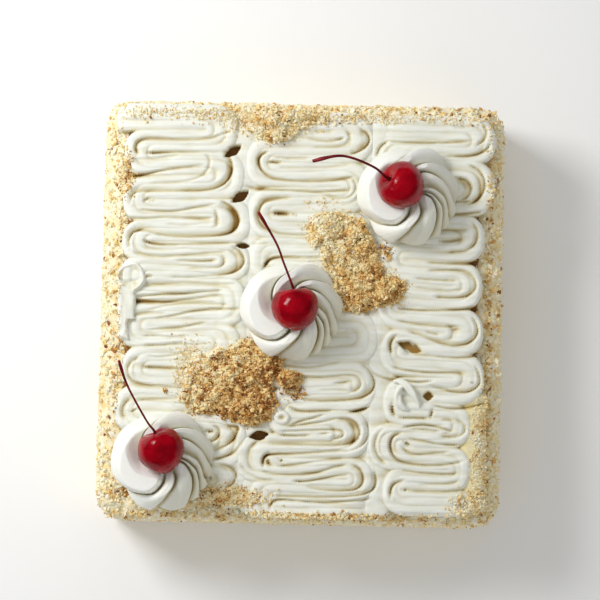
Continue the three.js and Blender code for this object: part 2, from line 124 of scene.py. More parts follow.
# Grooves in the piped cream: depths from one end to the other, widths of the banks left and right of the
# groove's way, and its route.
GROOVES = {
    "cream_left": [
        ((2.4, 1.1, 1.1, 1, 0.6), 1.3, 1.8, [(-84, 77.1), (-85.6, 79.1), (-85.6, 82.1), (-83.2, 84.4),
            (-77.7, 85), (-70.2, 84.9), (-62.7, 84.6), (-52.7, 85.1), (-46.2, 86), (-41.8, 88.1),
            (-36.8, 89.9)]),
        ((2.4, 1.6, 0.5, 0.2), 1.2, 1.4, [(-79, 77.7), (-75, 77.8), (-66.5, 78.5), (-52.5, 78.6),
            (-41.6, 79.1)]),
        ((0.3, 0.5, 0.3), 1.5, 2.5, [(-85.5, 74.1), (-77.5, 74.5), (-70, 75.7), (-62.5, 77.4)]),
        ((2.2, 1.7, 1, 0.4), 0.8, 2, [(-85.8, 66.1), (-79.8, 67.1), (-72.3, 68.9), (-64.9, 70.2),
            (-57.4, 71.2), (-50.9, 72.1)]),
        ((0.5, 0.6, 0.5), 1.4, 1.4, [(-77.2, 62.3), (-64.7, 62.9), (-56.2, 64.2), (-50.8, 66.9),
            (-47.9, 70.9), (-47.5, 75.9), (-50.5, 77.9)]),
        ((0.6, 2.2, 3, 2.2, 1.3, 1.1, 1.1, 1.2, 2.4), 0.8, 3.2, [(-40.6, 80.1), (-37.5, 76.2), (-36.1, 71.7),
            (-36.8, 67.7), (-38.7, 64.1), (-42.2, 61.3), (-45.6, 60), (-52.1, 59), (-62.1, 58.5), (-72.1, 58),
            (-79.6, 58), (-84.6, 57.8), (-86.8, 56), (-86.7, 53)]),
        ((1.8, 1), 1.3, 1.3, [(-80, 52.9), (-80, 54.4), (-78, 55), (-76, 54.5)]),
        ((1.2, 0.6), 1.2, 1.2, [(-78.5, 54), (-74, 53.1)]),
        ((0.6, 1.3, 1.3, 0.9, 0.5), 0.8, 1.8, [(-82.9, 48.9), (-76.9, 48.5), (-69.4, 48.3), (-63.4, 48.7),
            (-58.4, 49.7), (-51.9, 51.1), (-44.4, 52.3)]),
        ((0.6, 1.3, 1.2, 1.1, 0.9), 1.3, 1.3, [(-92.8, 44.4), (-84.3, 44.3), (-76.8, 44.5), (-69.3, 45.3),
            (-61.8, 45.1), (-51.8, 45), (-45.3, 45.5)]),
        ((0.4, 0.5, 0.4), 1.6, 1.6, [(-68.7, 41.5), (-59.2, 41.2), (-51.7, 42.1), (-45.7, 43)]),
        ((0.8, 1, 0.6), 1.6, 1.6, [(-43.7, 41.5), (-43.3, 46), (-44.4, 50)]),
        ((0.8, 2.4, 3, 2.2, 1.3, 1.2, 1.1, 1, 1.4, 2.6, 2.6, 1.2), 0.8, 4.4, [(-42, 54.3), (-36.9, 52.2),
            (-33.6, 48.7), (-32, 45.3), (-32.7, 41.8), (-35.6, 38.7), (-40.1, 36.8), (-46.6, 36),
            (-56.6, 35.4), (-66.6, 35.5), (-72.6, 36.4), (-77.6, 37.7), (-81.6, 38.5), (-84.6, 38.1),
            (-86.8, 35.5), (-87.5, 32.5), (-86.4, 29)]),
        ((2.6, 2.4, 1.3, 1.1, 1.1, 0.9, 0.5), 1.1, 1.3, [(-79.5, 33.2), (-76.5, 32), (-71.5, 31.4),
            (-64, 31.5), (-56.5, 31.9), (-46.5, 32.4), (-35.5, 32.9)]),
        ((0.5, 0.5, 0.3), 1.6, 1.6, [(-80.4, 29.9), (-71.4, 28.4), (-63.9, 28.8), (-56.5, 30.2)]),
        ((0.7, 0.9, 0.7, 0.5), 1.1, 1.6, [(-84.9, 27.1), (-76.3, 25.5), (-68.8, 25.4), (-61.4, 26),
            (-53.9, 26.8), (-46.4, 27.8), (-38.4, 28.4)]),
        ((0.4, 1.2, 1.3), 1.3, 1.3, [(-63.3, 23.6), (-56.3, 23.5), (-49.8, 23.4), (-43.3, 24.3)]),
        ((0.5, 0.6, 0.5), 1.5, 1.5, [(-57.2, 19.9), (-48.7, 19.9), (-40.7, 20.8), (-38.3, 24.1),
            (-40.4, 27.1)]),
        ((0.6, 2.2, 2.8, 2.2, 1.3, 1.1, 0.7, 0.4), 0.8, 4, [(-36, 32.2), (-31.4, 29.3), (-29.1, 25.8),
            (-29, 22.8), (-31.2, 19.8), (-35.7, 17.7), (-41.1, 16.6), (-48.6, 15.9), (-56.1, 15.2),
            (-66.1, 15)]),
        ((1.9, 1.2), 1.4, 1.4, [(-79.1, 14), (-79.1, 15.5), (-76.6, 15.8), (-74.6, 14.8)]),
        ((0.7, 0.6, 0.5), 1.4, 2.2, [(-79.5, 10.4), (-71, 11.5), (-63.5, 12.2), (-53.5, 12.3), (-43.5, 12),
            (-32.5, 12.3)]),
        ((1.5, 1.5, 1.5, 1), 1.1, 1.5, [(-82.9, 5.1), (-75.9, 5.8), (-68.4, 6.6), (-60.9, 7), (-50.9, 8.1),
            (-39.5, 9.1)]),
        ((0.4, 0.9, 0.9, 0.6), 1, 1.6, [(-71.8, 2.1), (-63.3, 3.6), (-55.9, 4.5), (-48.4, 5.7),
            (-39.9, 6.6)]),
        ((0.4, 0.8, 0.6), 1.2, 1.2, [(-76.7, -1.7), (-68.3, 0.7), (-60.8, 2), (-50.8, 2.3), (-36.8, 1.9)]),
        ((0.5, 1.1, 1.2, 0.9), 1, 1.6, [(-72.6, -5.4), (-63.2, -4), (-55.7, -1.9), (-45.8, -0.3),
            (-30.3, -0.2)]),
        ((1.2, 0.8, 0.5), 1.2, 1.8, [(-82.2, -3.9), (-75.7, -2.9), (-66.7, -3.5)]),
        ((0.4, 1, 1.1, 0.6), 1, 1.8, [(-76.5, -11.5), (-68, -10.6), (-60.5, -10), (-55.6, -8.9),
            (-47.6, -7.1)]),
        ((0.9, 0.9, 0.6), 1, 1.6, [(-78.9, -14.8), (-72.9, -14.4), (-65.4, -15), (-56.9, -14.3)]),
        ((0.8, 0.8, 0.5), 1, 1.6, [(-78.8, -19.4), (-70.3, -19.1), (-62.9, -18.1), (-56.4, -17.8)]),
        ((0.5, 0.7, 0.4), 1.3, 1.3, [(-77.2, -24.8), (-70.2, -25.2), (-62.7, -24), (-57.3, -22.3)]),
        ((1.8, 1.3, 0.4), 1.2, 1.2, [(-78.1, -30.3), (-74.1, -30.2), (-67.6, -30.3), (-61.6, -30.4)]),
        ((0.4, 1.8, 1.6, 0.9, 0.7), 1.3, 2.6, [(-80.2, -25.6), (-84.6, -27.4), (-86.6, -31.5), (-84.9, -36.4),
            (-81.4, -38.5), (-74.9, -39.6), (-64.9, -40), (-57.4, -40.3)]),
        ((0.5, 0.6, 0.4), 1.3, 1.3, [(-80.7, -46.8), (-69.7, -46.1), (-59.7, -45.4)]),
        ((0.6, 1.6, 1.2), 1.3, 2.4, [(-83.2, -45.9), (-87.2, -48.5), (-88.6, -53), (-86.5, -57)]),
        ((1.8, 0.8), 1.2, 1.2, [(-84.1, -52.7), (-79.6, -50.8)]),
        ((2.4, 1.6), 1.6, 1.6, [(-45.9, -61.6), (-41.9, -61.5)]),
        ((0.6, 1.8, 1.6), 0.9, 2.2, [(-42.9, -58), (-39.4, -59.9), (-38.8, -62.9), (-41.8, -66.5),
            (-45.2, -67.5)]),
        ((0.6, 2.6, 2.2, 1), 0.8, 3.6, [(-36.4, -58.3), (-29.4, -58.7), (-31.3, -64.7), (-35.7, -68.8),
            (-42.1, -71.2)]),
        ((0.5, 1.5, 1.2), 0.9, 1.6, [(-27.3, -65.6), (-31.1, -71.7), (-38.1, -74.9), (-43, -75.5)]),
        ((0.5, 2, 1.6), 0.8, 2.8, [(-40, -77.4), (-33, -78.8), (-29.9, -82.7), (-31.8, -87.7),
            (-36.2, -90.3)]),
        ((2, 1.4), 1.8, 1.8, [(-45.3, -84.6), (-41.8, -84.5)]),
        ((1, 0.6), 1.2, 1.2, [(-42, -78), (-46.5, -79.1)]),
    ],
    "cream_middle": [
        ((0.5, 2.2, 2.6, 2, 0.9), 0.8, 3.4, [(27.2, 92.6), (31.2, 90.7), (33, 87.3), (31.4, 83.7),
            (27.4, 80.6), (22.5, 79.2)]),
        ((0.6, 1.4), 1.2, 1.2, [(10.3, 85.8), (15.3, 86.1), (19.8, 87.5)]),
        ((0.5, 0.7, 0.6), 1.4, 1.4, [(3.4, 82.1), (14.9, 82.7), (20.8, 84), (22.8, 88), (20.7, 91.5)]),
        ((0.8, 0.7), 2.5, 2.5, [(3.2, 90.1), (14.2, 90.3)]),
        ((0.6, 1, 0.7), 1.2, 1.2, [(1.3, 86.6), (9.8, 85.5), (15.8, 85.4)]),
        ((0.5, 2.6, 3, 1.6, 1, 1.2, 1.2, 1.2, 0.9), 1.2, 1.6, [(-17.6, 79.4), (-21.5, 78.8), (-23.7, 76),
            (-22.9, 72), (-20.3, 68.6), (-15.7, 65.9), (-7.2, 65.1), (0.3, 65), (7.8, 65.2), (15.3, 65.9),
            (20.2, 66.9), (24.7, 67.8)]),
        ((2, 2, 0.8), 1.2, 1.2, [(-18.4, 74.1), (-16.5, 74.9), (-13.9, 74), (-11.4, 74.5)]),
        ((0.5, 0.8, 0.5), 1.3, 1.3, [(-16.5, 77.1), (-10, 76.3), (2.5, 76.5)]),
        ((0.4, 0.5, 0.4), 1.6, 1.6, [(-13.4, 71.5), (-2.4, 71.7), (12.6, 72.3), (22.6, 74)]),
        ((0.7, 1, 1.2, 1, 1, 1.4), 1, 1.7, [(-30.2, 62.3), (-24.6, 61), (-17.1, 60.3), (-9.6, 60.2),
            (-2.1, 60), (5.4, 59.6), (12.9, 60.3), (22.4, 61)]),
        ((0.6, 0.9, 0.6), 1.3, 1.6, [(23.7, 67.6), (26.3, 64.1), (25.9, 59.6), (22, 56.8), (14.5, 56.3)]),
        ((0.5, 0.7), 1.2, 1.2, [(9.9, 58.7), (15.5, 56.8), (20.5, 56.5)]),
        ((0.5, 1.6, 1.6, 1.6, 1.2, 1, 0.9), 1.4, 2.6, [(-6, 56.4), (-14.5, 55.9), (-20.5, 54), (-23.1, 49),
            (-22.3, 44), (-18.7, 40.3), (-12.6, 38.5), (-6.6, 37.9), (2.9, 37.8)]),
        ((2.6, 2.4, 1), 1.8, 2.4, [(-15.4, 48.7), (-10.9, 48.8), (-6.3, 48.1)]),
        ((0.8, 1), 1.2, 1.2, [(-6.3, 48.4), (-1.8, 47.2)]),
        ((0.5, 0.7), 1.3, 1.3, [(-1.7, 41), (2.9, 39.6)]),
        ((3.4, 3.4, 1.2, 0.9, 0.9), 1.2, 1.8, [(-19.2, 20.6), (-18.8, 23.6), (-15.3, 26.1), (-8.9, 26.7),
            (-1.4, 26.5), (9.6, 26.7)]),
        ((0.4, 0.6), 1.3, 1.3, [(-26.5, 32.9), (-16.5, 32.9)]),
        ((0.6, 1.9, 2.6, 1.8, 1.3, 1.3, 1.2, 0.9), 0.8, 3.6, [(29.8, -25.8), (33.9, -28.2), (36.5, -31.9),
            (37.8, -36.2), (36.4, -40.2), (31.7, -43.1), (25.3, -44.4), (17.8, -45.1), (10.3, -45.4),
            (2.8, -44.9), (-2.3, -43.6), (-6.8, -41.2)]),
        ((1, 1, 0.9, 0.9, 1.3, 1.3), 1, 2.6, [(-8.5, -32.7), (-0, -33), (10, -33.3), (17.5, -32.6),
            (25, -31.8), (29, -32.4), (31.1, -35.8), (29.6, -39.1), (25.7, -40.7)]),
        ((0.6, 1.5), 1.2, 1.2, [(16.6, -36.6), (21.1, -35.9), (25.1, -35.2)]),
        ((0.5, 0.6), 1.3, 1.3, [(9.2, -40.1), (17.7, -39.6), (25.2, -39.9)]),
        ((0.7, 0.8, 0.5), 1, 1.8, [(-8.1, -28.2), (2.4, -28.7), (9.9, -27.6), (19.8, -25.6)]),
        ((1, 1.2, 1.1, 0.8), 1.1, 1.3, [(-5.7, -48.1), (-0.6, -50.5), (6.4, -50.7), (16.4, -49.8)]),
        ((1.2, 2.8, 3), 1, 2, [(24.4, -50.5), (29.4, -49.3), (34.3, -47.7)]),
        ((0.7, 1.3, 1, 0.6), 0.9, 1.4, [(-4.4, -57.9), (0.5, -55.3), (6.5, -53.9), (13.4, -51.5)]),
        ((1, 1.2, 0.9, 0.7), 0.9, 1.4, [(-5.4, -58.1), (0.6, -57.3), (8, -56.1), (14.5, -54.9),
            (19.5, -53.6)]),
        ((0.6, 0.9, 2, 2.6, 2, 1.3, 1.2, 1.1, 1.1, 0.8), 0.9, 3.4, [(18.5, -53.6), (24.5, -53.5), (28, -54.9),
            (30.3, -58.3), (30.8, -61.6), (29.2, -64.4), (25.8, -66.2), (19.8, -67.2), (10.8, -67.6),
            (0.8, -67.3), (-6.7, -67.3), (-15.2, -67.6)]),
        ((1, 1.1, 1, 1.3, 1.2), 1, 1.8, [(-8.9, -60.8), (-1.9, -60.4), (5.6, -59.9), (13.1, -59.5),
            (19.6, -59.2), (23.1, -60.5), (21.7, -63.3), (17.2, -63.9)]),
        ((1.6, 1.3, 0.8), 1.1, 1.1, [(-9.8, -62.7), (-1.8, -62.9), (6.7, -62.4)]),
        ((0.5, 1), 1.2, 1.2, [(9.7, -61.8), (16.1, -61.1)]),
        ((0.6, 2.2, 1, 0.6), 0.9, 2.4, [(33.5, -54.3), (34.9, -59.7), (33.7, -65.3), (29.8, -68.6),
            (24.8, -70)]),
        ((1, 2.8, 3.2, 1.6, 1.2, 1.1, 1.2, 1.1, 1), 1.3, 1.5, [(-17, -78.9), (-18, -75.4), (-17.1, -72.7),
            (-11.6, -72.1), (-4.1, -71.8), (3.4, -71.3), (10.9, -70.6), (18.3, -69.9), (25.8, -69.9)]),
        ((2.2, 2, 0.8), 1.6, 2, [(-15.1, -74.4), (-15, -76.9), (-13, -78.3)]),
        ((2, 1.6), 1.3, 1.3, [(-9.6, -74.7), (-7, -75.9)]),
        ((0.9, 0.8, 0.6, 0.4), 1, 1.6, [(-9.5, -78), (-1.5, -77.2), (6, -75.9), (13.4, -74.7), (23.4, -73)]),
        ((0.5, 1, 1.2, 1.3, 1.1, 0.7), 1.3, 1.8, [(-17.9, -80.4), (-13.9, -82.1), (-6.4, -82.2), (1.1, -82.1),
            (8.6, -80.9), (13.6, -79.4), (18.5, -77.7), (24.5, -76.4)]),
        ((1.8, 1.6, 1.2, 1, 0.5), 1, 1.6, [(-1.8, -85.3), (3.7, -85.4), (11.2, -84), (16.1, -82.8),
            (21.1, -81.8), (26.1, -81.4)]),
        ((0.5, 1.6, 2.4, 1.8, 1, 0.6), 0.9, 4, [(26.5, -75.9), (31, -78.1), (32.9, -82.3), (32.5, -86.3),
            (29.3, -89.1), (21.3, -90), (12.3, -89.7), (4.3, -88.2)]),
        ((0.8, 2.2, 1.6, 1.2, 1, 0.9), 0.9, 2.6, [(38.1, -79.2), (39.4, -84.6), (38, -88.7), (32.8, -91.5),
            (23.9, -92.7), (11.4, -93.1), (1.4, -93.1), (-11.1, -93.1)]),
        ((1.4, 1.6, 1.3, 0.8), 1, 1.6, [(-13.5, -98.8), (-13.1, -95.3), (-8.6, -94.5), (1.4, -95.2),
            (13.9, -95.7), (26.4, -94.4), (36.4, -92.9)]),
        ((0.5, 0.9, 0.5), 1.3, 2.2, [(-29, -76.7), (-25.9, -81.6), (-19.8, -84.7), (-11.3, -85.4)]),
        ((0.8, 1.2, 0.6), 1.2, 2, [(-24.2, -69.1), (-21.3, -66), (-15.3, -64.6)]),
    ],
    "cream_right": [
        ((0.5, 0.9, 1.3, 1.3, 1.2, 0.9), 1.2, 1.4, [(39.3, 86.9), (46.3, 85.8), (52.3, 85.8), (62.3, 85.8),
            (72.3, 86.3), (83.3, 87.2)]),
        ((1.6, 2.2, 1.4), 1.6, 2.2, [(36, 77.8), (36.9, 82.4), (39.3, 85.4), (42.3, 86.5)]),
        ((0.7, 1.2, 1.4, 1.6, 1), 0.9, 1.8, [(70.5, 79.3), (80, 79.5), (87.4, 81), (91.4, 83.1),
            (93.3, 86.6)]),
        ((0.4, 0.6), 1.4, 1.4, [(74.6, 93.7), (82.1, 94.1)]),
        ((0.6, 1.2, 1), 1.3, 1.6, [(89.1, 96.5), (91.7, 92.1), (90.3, 88.1), (86.3, 85)]),
        ((0.6, 1.8, 2.2, 1.8, 0.8), 0.8, 2.2, [(82.6, 75.4), (88.1, 72.8), (91, 68.1), (91.1, 63.1),
            (88.4, 58.5), (84, 55.4)]),
        ((1.6, 2, 1.8, 1.2), 0.9, 4, [(76.2, 68.7), (81.7, 67.9), (84.6, 63.9), (82.9, 58.9), (78, 56.6)]),
        ((0.8, 0.9), 1, 1.6, [(74, 56.2), (84, 56.9)]),
        ((1, 1.6, 1.4), 1, 1.8, [(68.1, 50.6), (78.1, 50.3), (90.1, 51.8)]),
        ((0.6, 1, 0.9), 1.2, 2.6, [(68.3, 42.3), (75.8, 42.1), (83.3, 42.3)]),
        ((1.4, 1.8, 1.4), 2.6, 2.6, [(67.4, 36.5), (73.4, 36.2), (80.4, 37.8)]),
        ((0.6, 1.4, 1.6, 1.2, 1), 0.9, 2.2, [(84.7, 46.9), (87.8, 41.5), (87, 35.5), (82.1, 31.6),
            (72.6, 30.7)]),
        ((1, 1.2, 1.2, 1.6), 1, 1.4, [(62.7, 25.4), (73.7, 25.1), (83.7, 25.2), (91.7, 26.6)]),
        ((0.7, 0.9, 0.9, 1.4, 1.8, 1.4), 0.9, 2.6, [(62.8, 21.3), (71.3, 21.9), (78.8, 22.1), (83.8, 20.9),
            (87.1, 17), (87.5, 13), (84.1, 9.2), (78.1, 7.8), (66.6, 8)]),
        ((0.7, 1.1, 0.9), 1.2, 1.2, [(56.4, 17.3), (61.4, 16.8), (68.9, 16.7), (77.9, 16.4)]),
        ((0.6, 0.8), 1.1, 1.8, [(56.5, 12.8), (64, 11.8), (74, 11.2), (80, 12.1)]),
        ((1.2, 1.2, 1.2, 1.6), 1, 1.4, [(48.2, 2.1), (59.2, 1.2), (69.2, 1.4), (79.2, 2.1), (88.2, 3.8)]),
        ((0.8, 1.1, 1, 0.8), 1, 1.6, [(48.4, -4.2), (56.9, -5.7), (64.4, -6.3), (71.9, -6.7), (79.9, -6.5)]),
        ((1.2, 1.4), 3, 3, [(75, -8.3), (79.9, -7.7)]),
        ((0.7, 1.6, 2, 1.6, 1.2, 1.2, 1, 0.8), 0.9, 2.2, [(85.3, -1.1), (88.1, -5), (88.7, -9.5),
            (86.6, -13.2), (82.6, -15.3), (77.1, -16.4), (71.6, -15.8), (66.1, -13.7), (60.5, -11.5),
            (53.5, -9.5)]),
        ((0.8, 1), 1, 1.4, [(62, -9.6), (69.5, -10.9)]),
        ((1, 2.4, 2), 1.2, 2, [(48.5, -11.4), (45.3, -13), (44.4, -17), (45.5, -21)]),
        ((0.8, 0.9, 0.9, 1.1, 1.4), 1, 1.6, [(51.2, -20.8), (59.7, -21), (69.8, -21.8), (77.3, -22.1),
            (84.8, -21.6), (91.7, -19.2)]),
        ((1.2, 1.3, 1.4, 1.1, 0.6), 1, 1.7, [(45.9, -27), (49.9, -28.5), (54.9, -29.1), (62.4, -29.7),
            (69.9, -29.8), (77.4, -29.4), (82, -30.4)]),
        ((0.5, 1.5, 1.6, 1.3, 1, 0.6), 0.8, 2, [(86.9, -25.5), (89.7, -30), (90.1, -35), (87.1, -38.1),
            (82.7, -39.5), (76.2, -39.4), (70.1, -37.6), (64.1, -36.3)]),
        ((0.6, 0.8, 1.2, 1.5, 1.2), 1, 1.3, [(32.9, -28.8), (39, -32.1), (45, -33.7), (52.5, -34.4),
            (60.1, -34.7), (66, -34)]),
        ((0.8, 1.4, 1.2, 1.6), 1, 1.5, [(66.3, -46), (72.8, -47.5), (80.3, -47.5), (87.8, -46.1),
            (92.8, -44.2)]),
        ((2.4, 2.2), 1.6, 2, [(46.3, -46), (45.9, -49.5), (47.9, -51.9)]),
        ((0.9, 1, 1), 1.1, 1.6, [(49.5, -52.9), (56.5, -52.4), (64.5, -52.8)]),
        ((2.4, 2), 1.4, 1.4, [(66.4, -48.3), (65.5, -52.3)]),
        ((0.9, 1.5, 1.4, 1), 1.1, 1.5, [(51.6, -57.6), (58, -56), (63, -55.7), (69.6, -56.9), (76.6, -59)]),
        ((0.6, 0.9, 0.8), 1.2, 1.2, [(54.6, -58), (63.1, -58.3), (70.6, -59.2)]),
        ((0.7, 1.2, 1.2), 0.9, 2.6, [(78, -52.7), (82.5, -54.6), (83.6, -58.6), (80.2, -61.7),
            (70.7, -61.9)]),
        ((0.9, 0.9), 1.1, 1.1, [(70.5, -53.2), (76.5, -53.5)]),
        ((0.7, 1.2, 1.3, 1.2), 1, 1.6, [(54.7, -62.8), (63.2, -64.2), (68.2, -65.2), (73.3, -65.5),
            (79.8, -65.6)]),
        ((0.5, 1.4, 1.6, 1.3), 1.2, 3, [(42.6, -58), (39.1, -61.1), (37.8, -67.2), (39.9, -72.6), (44, -76)]),
        ((0.6, 2.2, 2.6, 1.6, 1.3, 1.2, 1.2, 0.8), 1.3, 1.8, [(51.6, -60.3), (47.2, -61.2), (45.5, -64.5),
            (45.8, -69), (48.4, -73.2), (52.5, -75), (58.5, -75.8), (66, -76.1), (73.5, -75.5),
            (82.4, -73.6)]),
        ((2.6, 2), 1.7, 1.7, [(52.7, -64.6), (55.8, -66.5)]),
        ((1.2, 0.9, 0.8), 1.1, 1.6, [(51.8, -67.3), (54.9, -70.5), (60.9, -70.7), (68.4, -69.8),
            (75.3, -69.1)]),
        ((0.6, 0.9, 1, 0.9), 1, 1.8, [(51, -78.6), (61.1, -79.9), (68.6, -80.1), (73.6, -80.4),
            (79.6, -79.5)]),
        ((0.5, 0.6), 1.3, 1.6, [(61.2, -85.6), (73.7, -85), (80.2, -83.7)]),
        ((0.8, 2, 1.8), 1.4, 1.8, [(53.2, -83.6), (48.2, -84.9), (45.8, -88.5), (46.4, -92.5)]),
        ((1.4, 1), 1.3, 1.3, [(51.8, -88.6), (55.3, -88.3)]),
        ((0.6, 0.7), 1.2, 1.8, [(56.3, -89.2), (71.3, -89.2), (81.3, -87.7)]),
    ],
}

# Where the cream is open: x and y of the middle, half length, half width, turn in degrees, floor's height.
HOLES = [
    (-36.3, 79.7, 4.6, 2.2, 38, FOOT), (-32, 56.8, 4.8, 2.4, 38, FOOT), (-30.2, 31.8, 3.2, 1.5, 0, FOOT),
    (-19.8, -63, 4.4, 2.4, 10, FOOT), (54.7, -17.3, 6.0, 2.7, -20, 54.6), (64.2, -41.6, 2.4, 2.2, 0, 54.8),
]

# Rosettes: middle, cherry's middle, how far it leans and to which side in degrees, and the stem's far points.
ROSETTES = {
    "back": ((52, 58.5), (48, 60.7), 62, 156, [(32.8, 67.8, 97), (18, 71.5, 104.2), (3.7, 68.9, 102)]),
    "middle": ((-5, -0.5), (-3.3, -0.9), 84, 97, [(-9.2, 20.4, 88), (-13.1, 29.6, 93), (-22.1, 43.9, 99)]),
    "front": (
        (-67, -76.5), (-67, -72.1), 80, 111, [(-74.4, -57.6, 88), (-83.3, -41.6, 96), (-87.4, -29.9, 101)],
    ),
}
ROSETTE_TURNS = {"back": 0, "middle": -4, "front": 6}  # degrees
ROSETTE_RADIUS = 25.0
ROSETTE_FOOT = 56.2
ROSETTE_CROWN = 77.5
ROSETTE_PEAK = 78.2
# Edges of the petals on a rosette from above, as angles at these shares of its radius.
PETAL_EDGES = [
    (62, 26, -2, -14), (12, -4, -25, -30), (-6, -20, -38, -47), (-13, -33, -51, -64),
    (-58, -84, -96, -102), (-91, -110, -133, -149), (-205, -257, -273, -284), (-278, -299, -317, -340),
]
PETAL_SHARES = (0.45, 0.7, 0.88, 1.0)

# Each heap's lobes, as middle and half widths across and along, and how many crumbs lie on it.
HEAPS = {
    "crumb_heap_back": (
        [(15.9, 40.5, 17, 9.5), (24, 26.6, 15, 14), (24, 9.5, 15, 10), (42.5, 11, 10, 8)], 9000,
    ),
    "crumb_heap_front": (
        [(-39, -38.4, 23, 17), (-23, -27, 15, 12), (-24, -47.5, 13, 10), (-5, -35, 6.5, 3.6)], 10500,
    ),
    "crumb_heap_edge": ([(-15.5, 93, 13, 10), (-4, 97, 14, 5)], 2800),
}
HEAP_FLOOR, HEAP_FOOT, HEAP_RISE = 55.0, 58.2, 5.2  # underside, rim, and how far the middle rises above it
# How much of a heap is toasted, its shade, where 0 is pale crumb and 1 brown crust, a spot with that shade,
# and how much browner it gets with each mm to the right and to the back. That last is painted shade, darker
# towards the side turned from the key light.
HEAP_TONES = {
    "crumb_heap_back": (0.06, 0.31, (21.7, 30), (0.006, -0.002)),
    "crumb_heap_front": (0.26, 0.375, (-36.7, -35), (0.008, -0.006)),
    "crumb_heap_edge": (0.06, 0.22, (-10, 95), (0, 0)),
}

GROOVE_GAIN = 1.8  # how much deeper than listed the grooves are cut
GROOVE_CORE = 0.68  # half the width of a groove's crisp bottom
LANE = 9.0  # how far the drag marks of one ridge lie from the next one's
RELIEFS = {}  # the cream's reliefs by name, for crumbs to lie on


def linear(code):
    """The linear colour of an sRGB hex code."""
    parts = [int(code[i : i + 2], 16) / 255 for i in (1, 3, 5)]
    return tuple(p / 12.92 if p <= 0.04045 else ((p + 0.055) / 1.055) ** 2.4 for p in parts)


def add(tree, kind, inputs=None, **settings):
    """Adds a node with its settings. An input is a value, or a socket to link."""
    made = tree.nodes.new(kind)
    for name, value in settings.items():
        setattr(made, name, value)
    feed(tree, made, inputs or {})
    return made


def feed(tree, made, inputs):
    """Sets a node's inputs. Each is a value, or a socket to link."""
    for name, value in inputs.items():
        socket = made.inputs[name]
        if isinstance(value, bpy.types.NodeSocket):
            tree.links.new(value, socket)
        elif socket.type == "RGBA":
            socket.default_value = (*value, 1)
        else:
            socket.default_value = value


def in_mm(box):
    """A box's two corners in millimetres."""
    return [corner * 1000 for corner in box]


def ramp(tree, factor, stops):
    """A colour ramp from stops, each a place and a colour, which is a hex code or a setting."""
    made = add(tree, "ShaderNodeValToRGB", {"Fac": factor})
    ends = made.color_ramp.elements
    while len(ends) < len(stops):
        ends.new(0.5)
    for end, (place, code) in zip(ends, stops):
        end.position = place
        end.color = (*(linear(code) if isinstance(code, str) else code), 1)
    return made.outputs["Color"]


def new_material(name):
    """A material with only a shader, its node tree and that shader."""
    material = bpy.data.materials.new(name)
    material.use_nodes = True
    tree = material.node_tree
    tree.nodes.clear()
    shader = add(tree, "ShaderNodeBsdfPrincipled")
    add(tree, "ShaderNodeOutputMaterial", {"Surface": shader.outputs["BSDF"]})
    return material, tree, shader


def finished(name, bm, material, node):
    """Makes a bmesh in metres a smooth piece in place of a node."""
    mesh = bpy.data.meshes.new(name)
    bm.to_mesh(mesh)
    bm.free()
    mesh.shade_smooth()
    piece = placed(name, mesh, material)
    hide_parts(node)
    return piece


def placed(name, mesh, material):
    """Makes a mesh a piece that rides on the cake's body."""
    mesh.materials.append(material)
    piece = bpy.data.objects.new(name, mesh)
    bpy.context.scene.collection.objects.link(piece)
    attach(piece, "root")
    return piece


def shared_edge(one, other):
    """The edge between two vertices."""
    return next(e for e in one.link_edges if e.other_vert(one) is other)


def lofted(rows, marks=None, hollows=None):
    """A closed skin through rows of points: a circle, extruded from row to row, and both ends filled."""
    bm = bmesh.new()
    flow = bm.verts.layers.float_vector.new("flow") if marks is not None else None
    depth = bm.verts.layers.float.new("hollow") if hollows is not None else None
    count = len(rows[0])
    ring = bmesh.ops.create_circle(bm, cap_ends=False, segments=count, radius=1.0)["verts"]
    for number, row in enumerate(rows):
        if number:
            edges = [shared_edge(ring[i], ring[(i + 1) % count]) for i in range(count)]
            made = bmesh.ops.extrude_edge_only(bm, edges=edges)["geom"]
            fresh = {g for g in made if isinstance(g, bmesh.types.BMVert)}
            ring = [next(o for o in (e.other_vert(v) for e in v.link_edges) if o in fresh) for v in ring]
        for i, (vert, place) in enumerate(zip(ring, row)):
            vert.co = Vector(place) * MM
            if flow:
                vert[flow] = marks[number][i]
            if depth:
                vert[depth] = hollows[number][i]
    bmesh.ops.holes_fill(bm, edges=[e for e in bm.edges if e.is_boundary], sides=0)
    bmesh.ops.recalc_face_normals(bm, faces=bm.faces)
    return bm


def smoothed(route, passes):
    """A route of points with its corners worn off. Its two ends stay."""
    route = np.array(route, float)
    for _ in range(passes):
        route[1:-1] = 0.5 * route[1:-1] + 0.25 * (route[:-2] + route[2:])
    return route


def lengths(route):
    """How far along a route each of its points lies."""
    steps = np.linalg.norm(np.diff(route, axis=0), axis=1)
    return np.concatenate([[0], np.cumsum(steps)])


def resampled(route, spacing, axes=3):
    """Evenly spaced points on a route, and how far along it each lies. Only its first axes are lengths."""
    route = np.array(route, float)
    length = lengths(route[:, :axes])
    count = max(2, int(length[-1] / spacing) + 1)
    places = np.linspace(0, length[-1], count)
    return np.stack([np.interp(places, length, column) for column in route.T], 1), places


def drift(places, scale, row):
    """Smooth noise from -1 to 1 along a line."""
    return np.array([noise.noise(Vector((p / scale, row * 7.31, 3.7))) for p in places])


